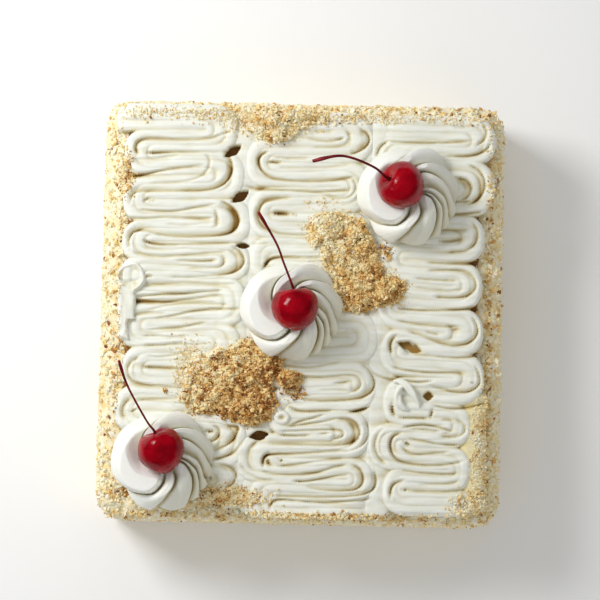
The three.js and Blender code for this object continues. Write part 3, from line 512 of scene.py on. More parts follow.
class Relief:
    """Heights of cream or crumbs over a rectangle, with which way the cream flowed."""

    def __init__(self, lo, hi, spacing):
        self.spacing = spacing
        self.x = np.arange(lo[0], hi[0] + spacing[0], spacing[0])
        self.y = np.arange(lo[1], hi[1] + spacing[1], spacing[1])
        self.top = np.full((len(self.y), len(self.x)), FOOT)
        self.flow = np.zeros((len(self.y), len(self.x), 2))
        self.tint = np.zeros_like(self.top)

    def window(self, x, y, reach):
        """The grid's rows and columns within reach of a spot."""
        axes = list(zip((x, y), (self.x, self.y), self.spacing))
        first = [max(0, int((v - reach - axis[0]) / gap)) for v, axis, gap in axes]
        last = [max(0, int((v + reach - axis[0]) / gap) + 2) for v, axis, gap in axes]
        return slice(first[1], last[1]), slice(first[0], last[0])

    def stroke(self, route, crest, rise, reach, power=2.0, lane=0.0, wobble=0.0):
        """Drags a dome along a route. crest, rise and reach are numbers, or one for each of its points.
        A low power makes the dome round, a high one flat. lane shifts its marks and its wobble."""
        columns = [np.broadcast_to(v, len(route)) for v in (crest, rise, reach)]
        route, places = resampled(np.column_stack([np.array(route, float)[:, :2], *columns]), 0.3, axes=2)
        crest, rise, reach = route[:, 2], route[:, 3], route[:, 4]
        route = route[:, :2]
        ways = np.gradient(route, axis=0)
        ways /= np.linalg.norm(ways, axis=1)[:, None] + 1e-9
        if wobble:
            side = (drift(places, 26.0, lane) + 0.25 * drift(places, 8.0, lane + 0.2)) * wobble
            route = route + np.stack([-ways[:, 1], ways[:, 0]], 1) * side[:, None]
            crest = crest + (drift(places, 18.0, lane + 0.5) + 0.2 * drift(places, 5.0, lane + 0.7)) * wobble
        for i in range(len(route)):
            rows, columns = self.window(route[i, 0], route[i, 1], reach[i])
            east = self.x[None, columns] - route[i, 0]
            north = self.y[rows, None] - route[i, 1]
            share = (east * east + north * north) / reach[i] ** 2
            if not share.size:
                continue
            dome = crest[i] - rise[i] + rise[i] * np.sqrt(np.maximum(0, 1 - share ** (power / 2)))
            top = self.top[rows, columns]
            wins = (share < 1) & (dome > top)
            top[wins] = dome[wins]
            across = north * ways[i, 0] - east * ways[i, 1]
            ahead = places[i] + east * ways[i, 0] + north * ways[i, 1]
            self.flow[rows, columns, 0][wins] = np.broadcast_to(ahead, share.shape)[wins]
            self.flow[rows, columns, 1][wins] = np.broadcast_to(across + lane * LANE, share.shape)[wins]

    def carve(self):
        """Cuts the traced grooves and holes."""
        fall = np.zeros_like(self.top)
        for grooves in GROOVES.values():
            for depths, left, right, route in grooves:
                depth = np.interp(np.linspace(0, 1, len(route)), np.linspace(0, 1, len(depths)), depths)
                route = resampled(np.column_stack([route, GROOVE_GAIN * depth**0.85]), 1.2, axes=2)[0]
                self.carve_groove(fall, smoothed(route, 4), left, right)
        lies = self.top > FOOT + 0.4
        self.top = np.where(lies, np.maximum(self.top - fall, FOOT + 1.5), self.top)
        east, north = np.meshgrid(self.x, self.y)
        for x, y, length, width, turned, floor in HOLES:
            turned = math.radians(turned)
            along = (east - x) * math.cos(turned) + (north - y) * math.sin(turned)
            across = (north - y) * math.cos(turned) - (east - x) * math.sin(turned)
            share = np.abs(along / length) ** 1.3 + np.abs(across / width) ** 1.3
            # The cream sinks a little around a hole.
            sunk = 1.6 * np.clip((1.6 - share) / 0.6, 0, 1) ** 2
            self.top = np.where(share < 1.6, self.top - sunk, self.top)
            self.top = np.where(share < 1, np.minimum(self.top, floor), self.top)

    def carve_groove(self, fall, route, left, right):
        """Adds a groove to the falls. The route's third column is its depth."""
        wide = max(left, right)
        crisp = 0.34 if wide > 2 else 0.5
        depth = route[:, 2]
        route = route[:, :2]
        lo, hi = route.min(0) - wide, route.max(0) + wide
        columns = slice(*np.searchsorted(self.x, (lo[0], hi[0])))
        rows = slice(*np.searchsorted(self.y, (lo[1], hi[1])))
        east = self.x[columns][None, :, None] - route[:, 0]
        north = self.y[rows][:, None, None] - route[:, 1]
        away = east * east + north * north
        if not away.size:
            return
        nearest = away.argmin(axis=2)
        ways = np.gradient(route, axis=0)
        pick = np.ogrid[: away.shape[0], : away.shape[1]]
        dx, dy = (np.broadcast_to(v, away.shape)[pick[0], pick[1], nearest] for v in (east, north))
        away = np.sqrt(away[pick[0], pick[1], nearest])
        side = ways[nearest, 0] * dy - ways[nearest, 1] * dx
        length = np.linspace(0, 1, len(route))
        ends = np.minimum(length, 1 - length) * len(route) * 1.2
        depth = (depth * np.clip(0.25 + ends / 3.0, 0, 1))[nearest]
        bank = np.clip(1 - away / np.where(side > 0, left, right), 0, 1)
        cut = depth * (crisp * np.exp(-((away / GROOVE_CORE) ** 2)) + (1 - crisp) * bank**1.2)
        fall[rows, columns] = np.maximum(fall[rows, columns], cut)

    def at(self, x, y):
        """Height at a spot, or None off the rectangle or where nothing lies."""
        i = int(round((y - self.y[0]) / self.spacing[1]))
        j = int(round((x - self.x[0]) / self.spacing[0]))
        if 0 <= i < len(self.y) and 0 <= j < len(self.x) and self.top[i, j] > FOOT + 0.3:
            return float(self.top[i, j])
        return None

    # Painted shade: the cream's colour turns tan and brown by this depth.
    def hollow(self):
        """How deep each spot lies between what rises on two opposite sides, from 0 to 1 for 4 mm or more."""
        deepest = np.zeros_like(self.top)
        rows, columns = self.top.shape
        margin = 10
        # Nothing rises off the grid.
        wide = np.pad(self.top, margin, constant_values=FOOT)
        for down, right in ((1, 0), (0, 1), (1, 1), (1, -1)):
            sides = []
            for sign in (-1, 1):
                best = self.top
                for reach in np.linspace(0.4, 3.4, 8) * sign:
                    i = margin - round(reach * down / self.spacing[1])
                    j = margin - round(reach * right / self.spacing[0])
                    best = np.maximum(best, wide[i : i + rows, j : j + columns])
                sides.append(best)
            deepest = np.maximum(deepest, np.minimum(*sides) - self.top)
        return np.clip(deepest / 4.0, 0, 1) ** 0.62

    def skin(self, floor=FOOT):
        """A closed mesh: a grid moved to the heights, bare spots cut out, skirts down to the floor."""
        bm = bmesh.new()
        across, along = len(self.x), len(self.y)
        bmesh.ops.create_grid(bm, x_segments=across - 1, y_segments=along - 1, size=0.5)
        flow = bm.verts.layers.float_vector.new("flow")
        hollow = bm.verts.layers.float.new("hollow")
        tint = bm.verts.layers.float.new("tint")
        depth = self.hollow()
        bare = []
        for vert in bm.verts:
            j = int(round((vert.co.x + 0.5) * (across - 1)))
            i = int(round((vert.co.y + 0.5) * (along - 1)))
            vert.co = Vector((self.x[j], self.y[i], self.top[i, j])) * MM
            vert[flow] = Vector((*self.flow[i, j], 0)) * MM
            vert[hollow] = depth[i, j]
            vert[tint] = self.tint[i, j]
            if self.top[i, j] < floor + 0.35:
                bare.append(vert)
        bmesh.ops.delete(bm, geom=bare, context="VERTS")
        loose = [v for v in bm.verts if not v.link_faces]
        bmesh.ops.delete(bm, geom=loose, context="VERTS")
        rim = [e for e in bm.edges if e.is_boundary]
        made = bmesh.ops.extrude_edge_only(bm, edges=rim)["geom"]
        for vert in (g for g in made if isinstance(g, bmesh.types.BMVert)):
            vert.co.z = floor * MM
        rim = [e for e in bm.edges if e.is_boundary]
        bmesh.ops.triangle_fill(bm, edges=rim, use_beauty=False, use_dissolve=False)
        bmesh.ops.recalc_face_normals(bm, faces=bm.faces)
        return bm


def shoulder(x, y):
    """Height of the crumb coat's rounded edge at a spot, or of the sponge's top inside it."""
    east, north = (max(0.0, abs(v) - half / MM + CORNER) for v, half in zip((x, y), CAD_BOX[1]))
    inset = CORNER - math.hypot(east, north)
    fallen = min(1.0, max(0.0, 1 - (inset - COAT_FACE) / SHOULDER_RUN))
    return SPONGE_TOP - SHOULDER_RISE * (1 - math.sqrt(1 - fallen**2))


def ground(x, y):
    """Height of the cream, the sponge or the coat's edge at a spot."""
    heights = [h for h in (relief.at(x, y) for relief in RELIEFS.values()) if h is not None]
    return max(heights, default=shoulder(x, y))


def kept_on(at):
    """Spots turned back from the cake's edge, where they would lie past it or past its rounded corners."""
    limit = np.array((98.0, 104.0))
    at = np.where(abs(at) > limit, np.sign(at) * (2 * limit - abs(at)), at)
    inner = np.minimum(abs(at), np.array(CAD_BOX[1][:2]) / MM - CORNER)
    beyond = abs(at) - inner
    reach = np.maximum(np.hypot(*beyond.T), 1e-6)
    return np.sign(at) * (inner + beyond * np.minimum(1, (CORNER - 3) / reach)[:, None])


# ---------------------------------------------------------------- materials


def whipped_cream(settings):
    # Sweetened whipped cream, piped cold. Fat globules scatter light below the surface, so it reads as
    # a warm matt white, and thin places turn butter yellow over the sponge. Painted shade: deep places in
    # grooves and hollows are tinted tan to brown by their depth, and the rosettes' rims yellow-tan on the
    # side turned from the key light.
    material, tree, shader = new_material("whipped_cream_piped")
    hollow = add(tree, "ShaderNodeAttribute", attribute_name="hollow").outputs["Fac"]
    tint = add(tree, "ShaderNodeAttribute", attribute_name="tint").outputs["Fac"]
    flow = add(tree, "ShaderNodeAttribute", attribute_name="flow").outputs["Vector"]
    here = add(tree, "ShaderNodeTexCoord").outputs["Object"]
    # Patches of fat about 12 mm across shift the shade a little.
    patches = add(tree, "ShaderNodeTexNoise", {"Vector": here, "Scale": 80.0, "Detail": 3.0}).outputs["Fac"]
    shifted = add(
        tree, "ShaderNodeMath", {0: patches, 1: 0.16, 2: hollow}, operation="MULTIPLY_ADD",
    ).outputs[0]
    # Painted shade: the deeper a spot's hollow, the more tan and brown its colour.
    colour = ramp(tree, shifted, [
        (0.0, "#FBFCF4"), (0.1, settings.fresh), (0.32, "#ECEAD8"),
        (0.52, "#E2DBBC"), (0.76, "#C8B588"), (1.0, "#A5803F"),
    ])
    butter = add(tree, "ShaderNodeMix", {0: tint, 6: colour, 7: linear("#EBD78C")}, data_type="RGBA")
    # Drag marks of the nozzle's teeth, about 1 mm apart, drawn out along the flow.
    drawn = add(tree, "ShaderNodeMapping", {"Vector": flow, "Scale": (0.05, 1.0, 1.0)}).outputs["Vector"]
    streaks = add(tree, "ShaderNodeTexNoise", {
        "Vector": drawn, "Scale": 1000.0, "Detail": 3.0,
    }).outputs["Fac"]
    foam = add(tree, "ShaderNodeTexNoise", {"Vector": here, "Scale": 1400.0, "Detail": 2.0}).outputs["Fac"]
    marks = add(tree, "ShaderNodeBump", {
        "Height": streaks, "Strength": 0.5, "Distance": 0.0005,
    }).outputs["Normal"]
    bump = add(tree, "ShaderNodeBump", {
        "Height": foam, "Strength": 0.12, "Distance": 0.0002, "Normal": marks,
    }).outputs["Normal"]
    feed(tree, shader, {
        "Base Color": butter.outputs[2],
        "Roughness": settings.roughness,
        "IOR": 1.45,
        "Specular IOR Level": 0.35,
        "Subsurface Weight": 0.15,
        "Subsurface Radius": (1.0, 0.8, 0.5),
        "Subsurface Scale": 0.001,
        "Normal": bump,
    })
    return material


def cake_crumb(settings):
    # Dried, rubbed sponge, toasted at its tips. Matt and open, from pale yellow crumb to brown crust.
    material, tree, shader = new_material("sponge_crumb_toasted")
    here = add(tree, "ShaderNodeTexCoord").outputs["Object"]
    tone = add(tree, "ShaderNodeAttribute", attribute_name="tone").outputs["Fac"]
    # Toasting varies over about 3 mm, and pores are about 0.6 mm across.
    toast = add(tree, "ShaderNodeTexNoise", {"Vector": here, "Scale": 330.0, "Detail": 3.0}).outputs["Fac"]
    mixed = add(tree, "ShaderNodeMath", {0: toast, 1: 0.35, 2: tone}, operation="MULTIPLY_ADD").outputs[0]
    colour = ramp(tree, mixed, [
        (0.12, "#FCF7E4"), (0.34, settings.pale), (0.54, "#F9E0A2"),
        (0.78, settings.golden), (1.0, "#935B2E"),
    ])
    pores = add(tree, "ShaderNodeTexVoronoi", {"Vector": here, "Scale": 1600.0}).outputs["Distance"]
    bump = add(tree, "ShaderNodeBump", {
        "Height": pores, "Strength": 0.3, "Distance": 0.0004,
    }).outputs["Normal"]
    feed(tree, shader, {
        "Base Color": colour,
        "Roughness": 0.85,
        "IOR": 1.45,
        "Specular IOR Level": 0.2,
        "Subsurface Weight": 0.15,
        "Subsurface Radius": (1.0, 0.6, 0.3),
        "Subsurface Scale": 0.0008,
        "Normal": bump,
    })
    return material


def soaked_sponge():
    # Milk-soaked yellow sponge, oven-browned on top. Open pores on the sides, a smooth brown skin above.
    material, tree, shader = new_material("soaked_sponge_baked")
    here = add(tree, "ShaderNodeTexCoord").outputs["Object"]
    height = add(tree, "ShaderNodeSeparateXYZ", {"Vector": here}).outputs["Z"]
    crust = add(
        tree, "ShaderNodeMapRange", {"Value": height, "From Min": 0.0462, "From Max": 0.0495},
    ).outputs["Result"]
    # Browning varies over about 8 mm, and pores are about 1.4 mm across.
    patches = add(tree, "ShaderNodeTexNoise", {"Vector": here, "Scale": 120.0, "Detail": 5.0}).outputs["Fac"]
    browned = ramp(tree, patches, [(0.3, "#8E5F2C"), (0.5, "#A8763A"), (0.7, "#C09050")])
    crumb = ramp(tree, patches, [(0.3, "#E6C373"), (0.7, "#F1D894")])
    colour = add(tree, "ShaderNodeMix", {0: crust, 6: crumb, 7: browned}, data_type="RGBA")
    pores = add(tree, "ShaderNodeTexVoronoi", {"Vector": here, "Scale": 700.0}).outputs["Distance"]
    bump = add(tree, "ShaderNodeBump", {
        "Height": pores, "Strength": 0.5, "Distance": 0.0008,
    }).outputs["Normal"]
    feed(tree, shader, {
        "Base Color": colour.outputs[2],
        "Roughness": 0.6,
        "IOR": 1.4,
        "Normal": bump,
    })
    return material


def syrup_cherry(settings):
    # Maraschino cherry: dyed, candied flesh under a skin wet with syrup. Deep clear red with small,
    # sharp highlights that its faint dents break up.
    material, tree, shader = new_material("maraschino_cherry_syruped")
    here = add(tree, "ShaderNodeTexCoord").outputs["Object"]
    # The dye took unevenly, over about 6 mm, and dents are about 3 mm across.
    patches = add(tree, "ShaderNodeTexNoise", {"Vector": here, "Scale": 160.0, "Detail": 4.0}).outputs["Fac"]
    colour = ramp(tree, patches, [(0.3, "#7E000F"), (0.55, settings.skin), (0.75, "#AE0518")])
    dents = add(tree, "ShaderNodeTexNoise", {"Vector": here, "Scale": 300.0, "Detail": 4.0}).outputs["Fac"]
    bump = add(tree, "ShaderNodeBump", {
        "Height": dents, "Strength": 0.5, "Distance": 0.0008,
    }).outputs["Normal"]
    feed(tree, shader, {
        "Base Color": colour,
        "Roughness": 0.2,
        "IOR": 1.36,
        "Specular IOR Level": 0.36,
        "Subsurface Weight": 0.06,
        "Subsurface Radius": (1.0, 0.1, 0.08),
        "Subsurface Scale": 0.002,
        "Coat Weight": 0.1,
        "Coat Roughness": 0.06,
        "Normal": bump,
    })
    return material


def dyed_stem(settings):
    # Cherry stem, dyed by the syrup: woody fibres along it, and patches of darker and brighter dye.
    material, tree, shader = new_material("cherry_stem_dyed")
    flow = add(tree, "ShaderNodeAttribute", attribute_name="flow").outputs["Vector"]
    # The dye varies over about 6 mm, and fibres are about 0.4 mm wide, coarser than real so that they show.
    patches = add(tree, "ShaderNodeTexNoise", {"Vector": flow, "Scale": 180.0, "Detail": 3.0}).outputs["Fac"]
    colour = ramp(tree, patches, [(0.3, "#4E0A0C"), (0.5, settings.stem), (0.7, "#98202A")])
    fine = add(tree, "ShaderNodeMapping", {"Vector": flow, "Scale": (0.15, 1.0, 1.0)}).outputs["Vector"]
    fibres = add(tree, "ShaderNodeTexNoise", {"Vector": fine, "Scale": 2500.0, "Detail": 2.0}).outputs["Fac"]
    bump = add(tree, "ShaderNodeBump", {
        "Height": fibres, "Strength": 0.3, "Distance": 0.0003,
    }).outputs["Normal"]
    feed(tree, shader, {
        "Base Color": colour,
        "Roughness": 0.46,
        "IOR": 1.45,
        "Specular IOR Level": 0.32,
        "Normal": bump,
    })
    return material


def paper_sweep():
    # White photographic paper under the cake, matt, with fibres about 0.3 mm wide.
    material, tree, shader = new_material("white_paper_matt")
    here = add(tree, "ShaderNodeTexCoord").outputs["Object"]
    fibres = add(tree, "ShaderNodeTexNoise", {"Vector": here, "Scale": 3000.0, "Detail": 2.0}).outputs["Fac"]
    colour = ramp(tree, fibres, [(0.3, "#FBFBFA"), (0.7, "#FEFEFD")])
    feed(tree, shader, {"Base Color": colour, "Roughness": 0.9})
    return material


# ---------------------------------------------------------------- piped cream


def ridge_route(name, ridge):
    """The route of one of a line's three ridges, which is 1 left of the nozzle's way, 0 in its middle and -1
    right of it, with how far the ridge reaches to its sides."""
    turns = TURNS[name]
    start, finish = LINE_ENDS[name]
    places = []
    for i, (outer, middle, valley, hairpin) in enumerate(turns):
        side = 1 if i % 2 == 0 else -1
        before = turns[i - 1][1] if i else middle + LINE_GAP
        after = turns[i + 1][1] if i + 1 < len(turns) else middle - LINE_GAP
        half = (before - after) / 4
        # In this turn the ridge is the outer one at 1, the middle one at 0 and the inner one at -1.
        level = ridge * side
        wide = {1: 3.9, 0: (hairpin - valley) / 2 + 1.8, -1: 3.4}[level]
        inset = {1: 3.6, 0: (hairpin + valley) / 2, -1: hairpin + 2.4}[level]
        rise = half * (1 + 0.64 * level)
        run = rise * {1: 1.0, 0: 1.2, -1: 2.0}[level]
        centre = outer - side * (inset + run)
        straight = straight_reach(half)
        if not i:
            places.append((start + 1.5 * ridge, middle + rise, straight))
        for step in range(21):
            angle = math.pi / 2 - math.pi * step / 20
            east = abs(math.cos(angle)) ** 0.8
            north = math.copysign(abs(math.sin(angle)) ** 0.8, math.sin(angle))
            swell = 0.5 * abs(math.sin(angle)) * math.cos(angle) if level < 0 else 0.0
            reach = straight + (wide - straight) * east**2
            places.append((centre + side * run * east, middle + north * (rise + swell), reach))
        if i + 1 == len(turns):
            places.append((finish, middle - rise, straight))
    return smoothed(resampled(places, 0.8, axes=2)[0], 4)


def straight_reach(half):
    """Half the width of a ridge on the straight, where the turns lie 2 * half apart."""
    return bpy.context.scene.cake_cream.ridge_reach / MM * half / (LINE_GAP / 2)


# Low cream beside the lines: its x, y of its two ends, half its width, and how much of the crumbs' yellow it
# has taken up, from 0 to 1.
FILLS = {
    "cream_left": [(-31, 92, -94, 7.5, 0.0)],
    "cream_middle": [(-23.5, 92, -94, 7.5, 0.0), (-16.5, -33, -62, 5.0, 0.0), (31, 92, -94, 8.5, 0.0)],
    "cream_right": [(38.5, 92, -95, 8.5, 0.0), (44, -24, -38, 5.0, 0.0), (86.5, -44, -93, 6.5, 0.6)],
}


def piped_column(name, settings):
    """The relief of a column: low cream beside its line, and then the line's three ridges."""
    lo, hi = in_mm(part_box(name))
    relief = Relief((lo.x - 4, max(lo.y - 4, -103.4)), (hi.x + 6, min(hi.y + 5, 103)), GRID)
    rise = settings.ridge_rise / MM
    for x, y0, y1, reach, yellow in FILLS[name]:
        before = relief.top.copy()
        crest = FILL_TOP + 1.3 * yellow
        relief.stroke([(x, y0), (x, y1)], crest, 3.4, 1.1 * reach, power=2.2, lane=x, wobble=1.0)
        relief.tint[relief.top > before] = yellow
    for ridge in (0, 1, -1):
        route = ridge_route(name, ridge)
        lane = ridge + 2 + 5 * list(TURNS).index(name)
        before = relief.top.copy()
        # A line starts and ends thin.
        length = lengths(route[:, :2])
        thin = np.exp(-np.minimum(length, length[-1] - length) / 3.0)
        wide = 6.4 if ridge == 0 else 3.8
        relief.stroke(route, BODY_TOP - 1.4 * thin, 5.5, wide, power=4.0, lane=lane)
        crest = CREAM_TOP - 0.1 - 1.8 * thin
        relief.stroke(route, crest, rise, route[:, 2], power=2.4, lane=lane, wobble=0.5)
        relief.tint[relief.top > before] = 0
    for i, y in enumerate(relief.y):
        for j, x in enumerate(relief.x):
            # Uneven pressure and fine tears, both drawn out along the line.
            if relief.top[i, j] > 56:
                relief.top[i, j] += 0.7 * noise.noise(Vector((x / 20, y / 4.5, 3.1)))
                relief.top[i, j] += 0.22 * noise.noise(Vector((x / 10, y / 1.7, 7.7)))
    return relief


def press_left(relief):
    """The stretch of the left column that was pressed flat."""
    x, y = np.meshgrid(relief.x, relief.y)
    slant = y - (x + 90) * 0.07
    inside = np.clip((slant + 20) / 5, 0, 1) * np.clip((13.5 - slant) / 2, 0, 1)
    inside = inside * np.clip((-36 - x) / 6, 0, 1)
    relief.top = np.where(relief.top > 55, relief.top - 0.9 * inside, relief.top)


def smeared_relief():
    """Cream dragged over the left column's ends: a strip, ragged on its right, and a dished dab."""
    relief = Relief((-97, -24), (-76, 28), GRID)
    for i, y in enumerate(relief.y):
        for j, x in enumerate(relief.x):
            ragged = 1.1 * noise.noise(Vector((x / 5, y / 5, 2.2)))
            ragged += 0.5 * noise.noise(Vector((x / 2, y / 2.5, 5.2)))
            right = -82.8 if y > -6.5 else -86.2
            inside = min(right - x, x + 92.3, 11.5 - y, y + 16.5) + ragged
            if inside > 0:
                drawn = 0.45 * noise.noise(Vector((x / 1.7, y / 8, 1.1)))
                drawn += 0.4 * noise.noise(Vector((x / 4, y / 4, 8.1)))
                relief.top[i, j] = 60.2 + drawn - 2.6 * max(0.0, 1 - inside / 1.6) ** 2
            east, north = x + 85.6, y - 14.6
            away = math.hypot(east, north * 0.95) / (6.0 + 0.6 * ragged)
            rim = 60.3 + 0.5 * (east * 0.8 + north * 0.4) / 6
            if away < 1:
                relief.top[i, j] = rim - 2.3 * (1 - away**2) ** 0.9
            elif away < 1.32:
                relief.top[i, j] = max(rim - 4.0 * ((away - 1) / 0.32) ** 1.4, relief.top[i, j])
            if relief.top[i, j] > FOOT + 1:
                relief.flow[i, j] = y, x + 300
    return relief


class CreamSettings(PropertyGroup):
    fresh: FloatVectorProperty(
        name="Fresh cream", description="Colour of the cream's ridges",
        default=linear("#F1F2E7"), min=0, max=1, subtype="COLOR",
    )
    ridge_rise: FloatProperty(
        name="Ridge rise", description="Height of a ridge above the groove beside it",
        default=0.0032, min=0.001, max=0.006, unit="LENGTH", subtype="DISTANCE",
    )
    ridge_reach: FloatProperty(
        name="Ridge reach", description="Half the width of a ridge", default=0.0034, min=0.001,
        max=0.005, unit="LENGTH", subtype="DISTANCE",
    )
    roughness: FloatProperty(
        name="Roughness", description="How matt the cream is", default=0.5, min=0, max=1,
        subtype="FACTOR",
    )


class CAKE_OT_cream_columns(Operator):
    """Pipes the three columns of whipped cream"""

    bl_idname = "cake.cream_columns"
    bl_label = "Cream columns"

    def execute(self, context):
        settings = context.scene.cake_cream
        material = whipped_cream(settings)
        for name in TURNS:
            relief = piped_column(name, settings)
            if name == "cream_left":
                press_left(relief)
            relief.carve()
            if name == "cream_middle":
                # A burst bubble beside the front heap.
                angles = np.linspace(0, 5.6, 24)
                ring = [(-8.5 + 2.6 * math.cos(a), -54 + 2.1 * math.sin(a)) for a in angles]
                relief.stroke(ring, 60.0, 3.2, 1.8, lane=40)
            RELIEFS[name] = relief
            finished(name + "_piped", relief.skin(), material, name)
        relief = smeared_relief()
        finished("cream_smear_dragged", relief.skin(56.5), material, "cream_smear")
        RELIEFS["cream_smear"] = relief
        return {"FINISHED"}


def tube(route, reach, lobes=0, depth=0.0, twist=0.0, sides=24):
    """Rows of a tube's points along a route, with lobes along it that wind by twist radians."""
    route, places = resampled(route, 0.5)
    route = smoothed(route, 3)
    ways = np.gradient(route, axis=0)
    ways /= np.linalg.norm(ways, axis=1)[:, None]
    reach = np.interp(np.linspace(0, 1, len(route)), np.linspace(0, 1, len(reach)), reach)
    side = np.cross(ways[0], (0, 0, 1.0))
    rows, marks = [], []
    for i, way in enumerate(ways):
        side = side - way * side.dot(way)
        side /= np.linalg.norm(side)
        up = np.cross(side, way)
        angles = np.linspace(0, 2 * math.pi, sides, endpoint=False)
        turned = twist * i / len(ways)
        groove = 1 - np.abs(np.cos(lobes * (angles + turned) / 2))
        size = reach[i] * (1 - depth * groove if lobes else np.ones(sides))
        rows.append(route[i] + np.outer(np.cos(angles) * size, side) + np.outer(np.sin(angles) * size, up))
        marks.append([Vector((places[i], a * reach[i], 0)) * MM for a in angles])
    return rows, marks


# The curl's two strands: route, and radii from one end to the other.
STRANDS = (
    (
        [
            (46.8, -34.6, 58.4), (49.4, -34.4, 60.2), (53, -36.6, 61.6),
            (56.6, -40.8, 61.4), (59.3, -45.2, 60), (60.4, -48.4, 57.8),
        ],
        [0.9, 1.7, 2.0, 1.8, 1.3, 0.5],
    ),
    (
        [
            (51.8, -36.4, 60.4), (49.4, -38.2, 60.6), (48.4, -41.8, 60.4),
            (49.4, -45.6, 60.2), (52.2, -48, 59.4), (55.4, -48.4, 57.9),
        ],
        [1.1, 1.9, 2.2, 2.1, 1.7, 0.8],
    ),
)


class CAKE_OT_cream_curl(Operator):
    """Adds the short twisted curl of cream on the right column"""

    bl_idname = "cake.cream_curl"
    bl_label = "Cream curl"

    def execute(self, context):
        material = bpy.data.materials["whipped_cream_piped"]
        whole = bmesh.new()
        mesh = bpy.data.meshes.new("strand")
        for route, reach in STRANDS:
            rows, marks = tube(route, reach, lobes=3, depth=0.3, twist=3.2)
            strand = lofted(rows, marks)
            strand.to_mesh(mesh)
            strand.free()
            whole.from_mesh(mesh)
        bpy.data.meshes.remove(mesh)
        finished("cream_curl_twisted", whole, material, "cream_curl")
        return {"FINISHED"}


# ---------------------------------------------------------------- rosettes


def petal_spots(share, edges):
    """Angles of the petals' edges at a share of the radius, once round and back to the first."""
    spots = [np.interp(share, PETAL_SHARES, e) for e in edges]
    if share < PETAL_SHARES[0]:
        slope = (edges[:, 1] - edges[:, 0]) / (PETAL_SHARES[1] - PETAL_SHARES[0])
        spots = edges[:, 0] + slope * (share - PETAL_SHARES[0]) * 0.6
    return np.append(spots, spots[0] + 2 * math.pi)


def petal_form(share, drop, angle, phase, width):
    """How far out and how high a petal's surface lies at a phase from 0 to 1 across it, and two shares: how
    deep in the groove beside it that is, and how far outside the rosette's crown."""
    # Each petal climbs from the groove behind it to its crest, then drops into the next.
    if phase < 0.82:
        climb = math.sin(math.pi / 2 * phase / 0.82)
    else:
        climb = math.cos(math.pi / 2 * (phase - 0.82) / 0.18)
    size = min(1.0, 0.55 + width / 1.6) * min(1, max(0, (share - 0.12) / 0.3))
    ring = 0.6 - 0.16 * math.cos(angle)
    inward = max(0.0, (ring - share) / ring)
    outward = max(0.0, (share - ring) / (1.0 - ring))
    gap = ROSETTE_RADIUS * share * width * min(phase, 1.6 * (1 - phase))
    groove = size * math.exp(-((gap / 1.15) ** 2))
    fine = 0.28 * size * math.cos(2 * math.pi * (phase * width / 0.17 + 0.3 * share))
    fine = fine * (1 - inward) * max(0, 1 - width / 0.8)
    lift = size * (climb - 0.6)
    steep = 14.0 + 3.0 * max(0.0, math.cos(angle + 0.5))
    height = ROSETTE_CROWN - 7.0 * inward**1.3 - steep * outward**1.6 - drop
    height += 7.4 * lift * (1 - 0.3 * outward) - 1.9 * groove + fine
    reach = ROSETTE_RADIUS * share + 3.2 * lift * outward - 0.6 * outward + fine * outward
    return reach, height, groove, outward


def rosette_rows(middle, turned, seed):
    """Rows from the top's middle out over the rim and in under it, with vertices along the petals' edges."""
    shares = np.concatenate([np.linspace(0.04, 0.96, 50), [0.985, 1.0, 1.0, 0.99, 0.975, 0.955, 0.93]])
    drops = np.concatenate([np.zeros(51), [0.0, 2.0, 4.0, 5.6, 7.0, 8.2]])
    edges = np.unwrap(np.radians(PETAL_EDGES), axis=0)
    edges = edges[np.argsort(edges[:, 3])]
    widths = np.diff(np.append(edges[:, 3], edges[0, 3] + 2 * math.pi))
    counts = [max(14, int(w / 0.022)) for w in widths]
    rows, marks, hollows = [], [], []
    for share, drop in zip(shares, drops):
        spots = petal_spots(share, edges)
        row, mark, hollow = [], [], []
        for petal, (count, width) in enumerate(zip(counts, widths)):
            for step in range(count):
                phase = 1 - (1 - step / count) ** 1.35
                angle = spots[petal] + (spots[petal + 1] - spots[petal]) * phase
                spin = angle + math.radians(turned)
                east, north = math.cos(spin), math.sin(spin)
                reach, height, groove, outward = petal_form(share, drop, angle, phase, width)
                wave = noise.noise(Vector((3 * east * share, 3 * north * share, seed * 5.1)))
                reach += 0.5 * wave * share
                height = max(ROSETTE_FOOT, min(height + 0.4 * wave, ROSETTE_PEAK))
                row.append((middle[0] + reach * east, middle[1] + reach * north, height))
                across = 30 * petal + phase * ROSETTE_RADIUS * width * 0.7
                mark.append(Vector((ROSETTE_RADIUS * share, across, 0)) * MM)
                # Painted shade: the rim is tinted yellow-tan on its lower right, the side turned from the key
                # light, and the grooves by their depth.
                yellow = 0.36 * outward**0.7 * max(0.0, math.cos(spin + 0.5))
                hollow.append(0.66 * groove + yellow - 0.08)
        rows.append(row)
        marks.append(mark)
        hollows.append(hollow)
    return rows, marks, hollows


class CAKE_OT_rosettes(Operator):
    """Pipes the three rosettes on the diagonal"""

    bl_idname = "cake.rosettes"
    bl_label = "Rosettes"

    def execute(self, context):
        material = bpy.data.materials["whipped_cream_piped"]
        for seed, (place, (middle, *_)) in enumerate(ROSETTES.items()):
            swirl = lofted(*rosette_rows(middle, ROSETTE_TURNS[place], seed))
            finished(f"rosette_{place}_swirled", swirl, material, f"rosette_{place}")
        return {"FINISHED"}


# ---------------------------------------------------------------- cherries


class CherrySettings(PropertyGroup):
    skin: FloatVectorProperty(
        name="Skin", description="Colour of the cherries", default=linear("#9A0013"), min=0,
        max=1, subtype="COLOR",
    )
    stem: FloatVectorProperty(
        name="Stem", description="Colour of the stems", default=linear("#721117"), min=0, max=1,
        subtype="COLOR",
    )
    radius: FloatProperty(
        name="Radius", description="Half the width of a cherry", default=0.0116, min=0.008,
        max=0.014, unit="LENGTH", subtype="DISTANCE",
    )
    dimple: FloatProperty(
        name="Dimple", description="Depth of the hollow at the stem", default=0.0042, min=0,
        max=0.005, unit="LENGTH", subtype="DISTANCE",
    )


CHERRY_HEIGHT = 80.8
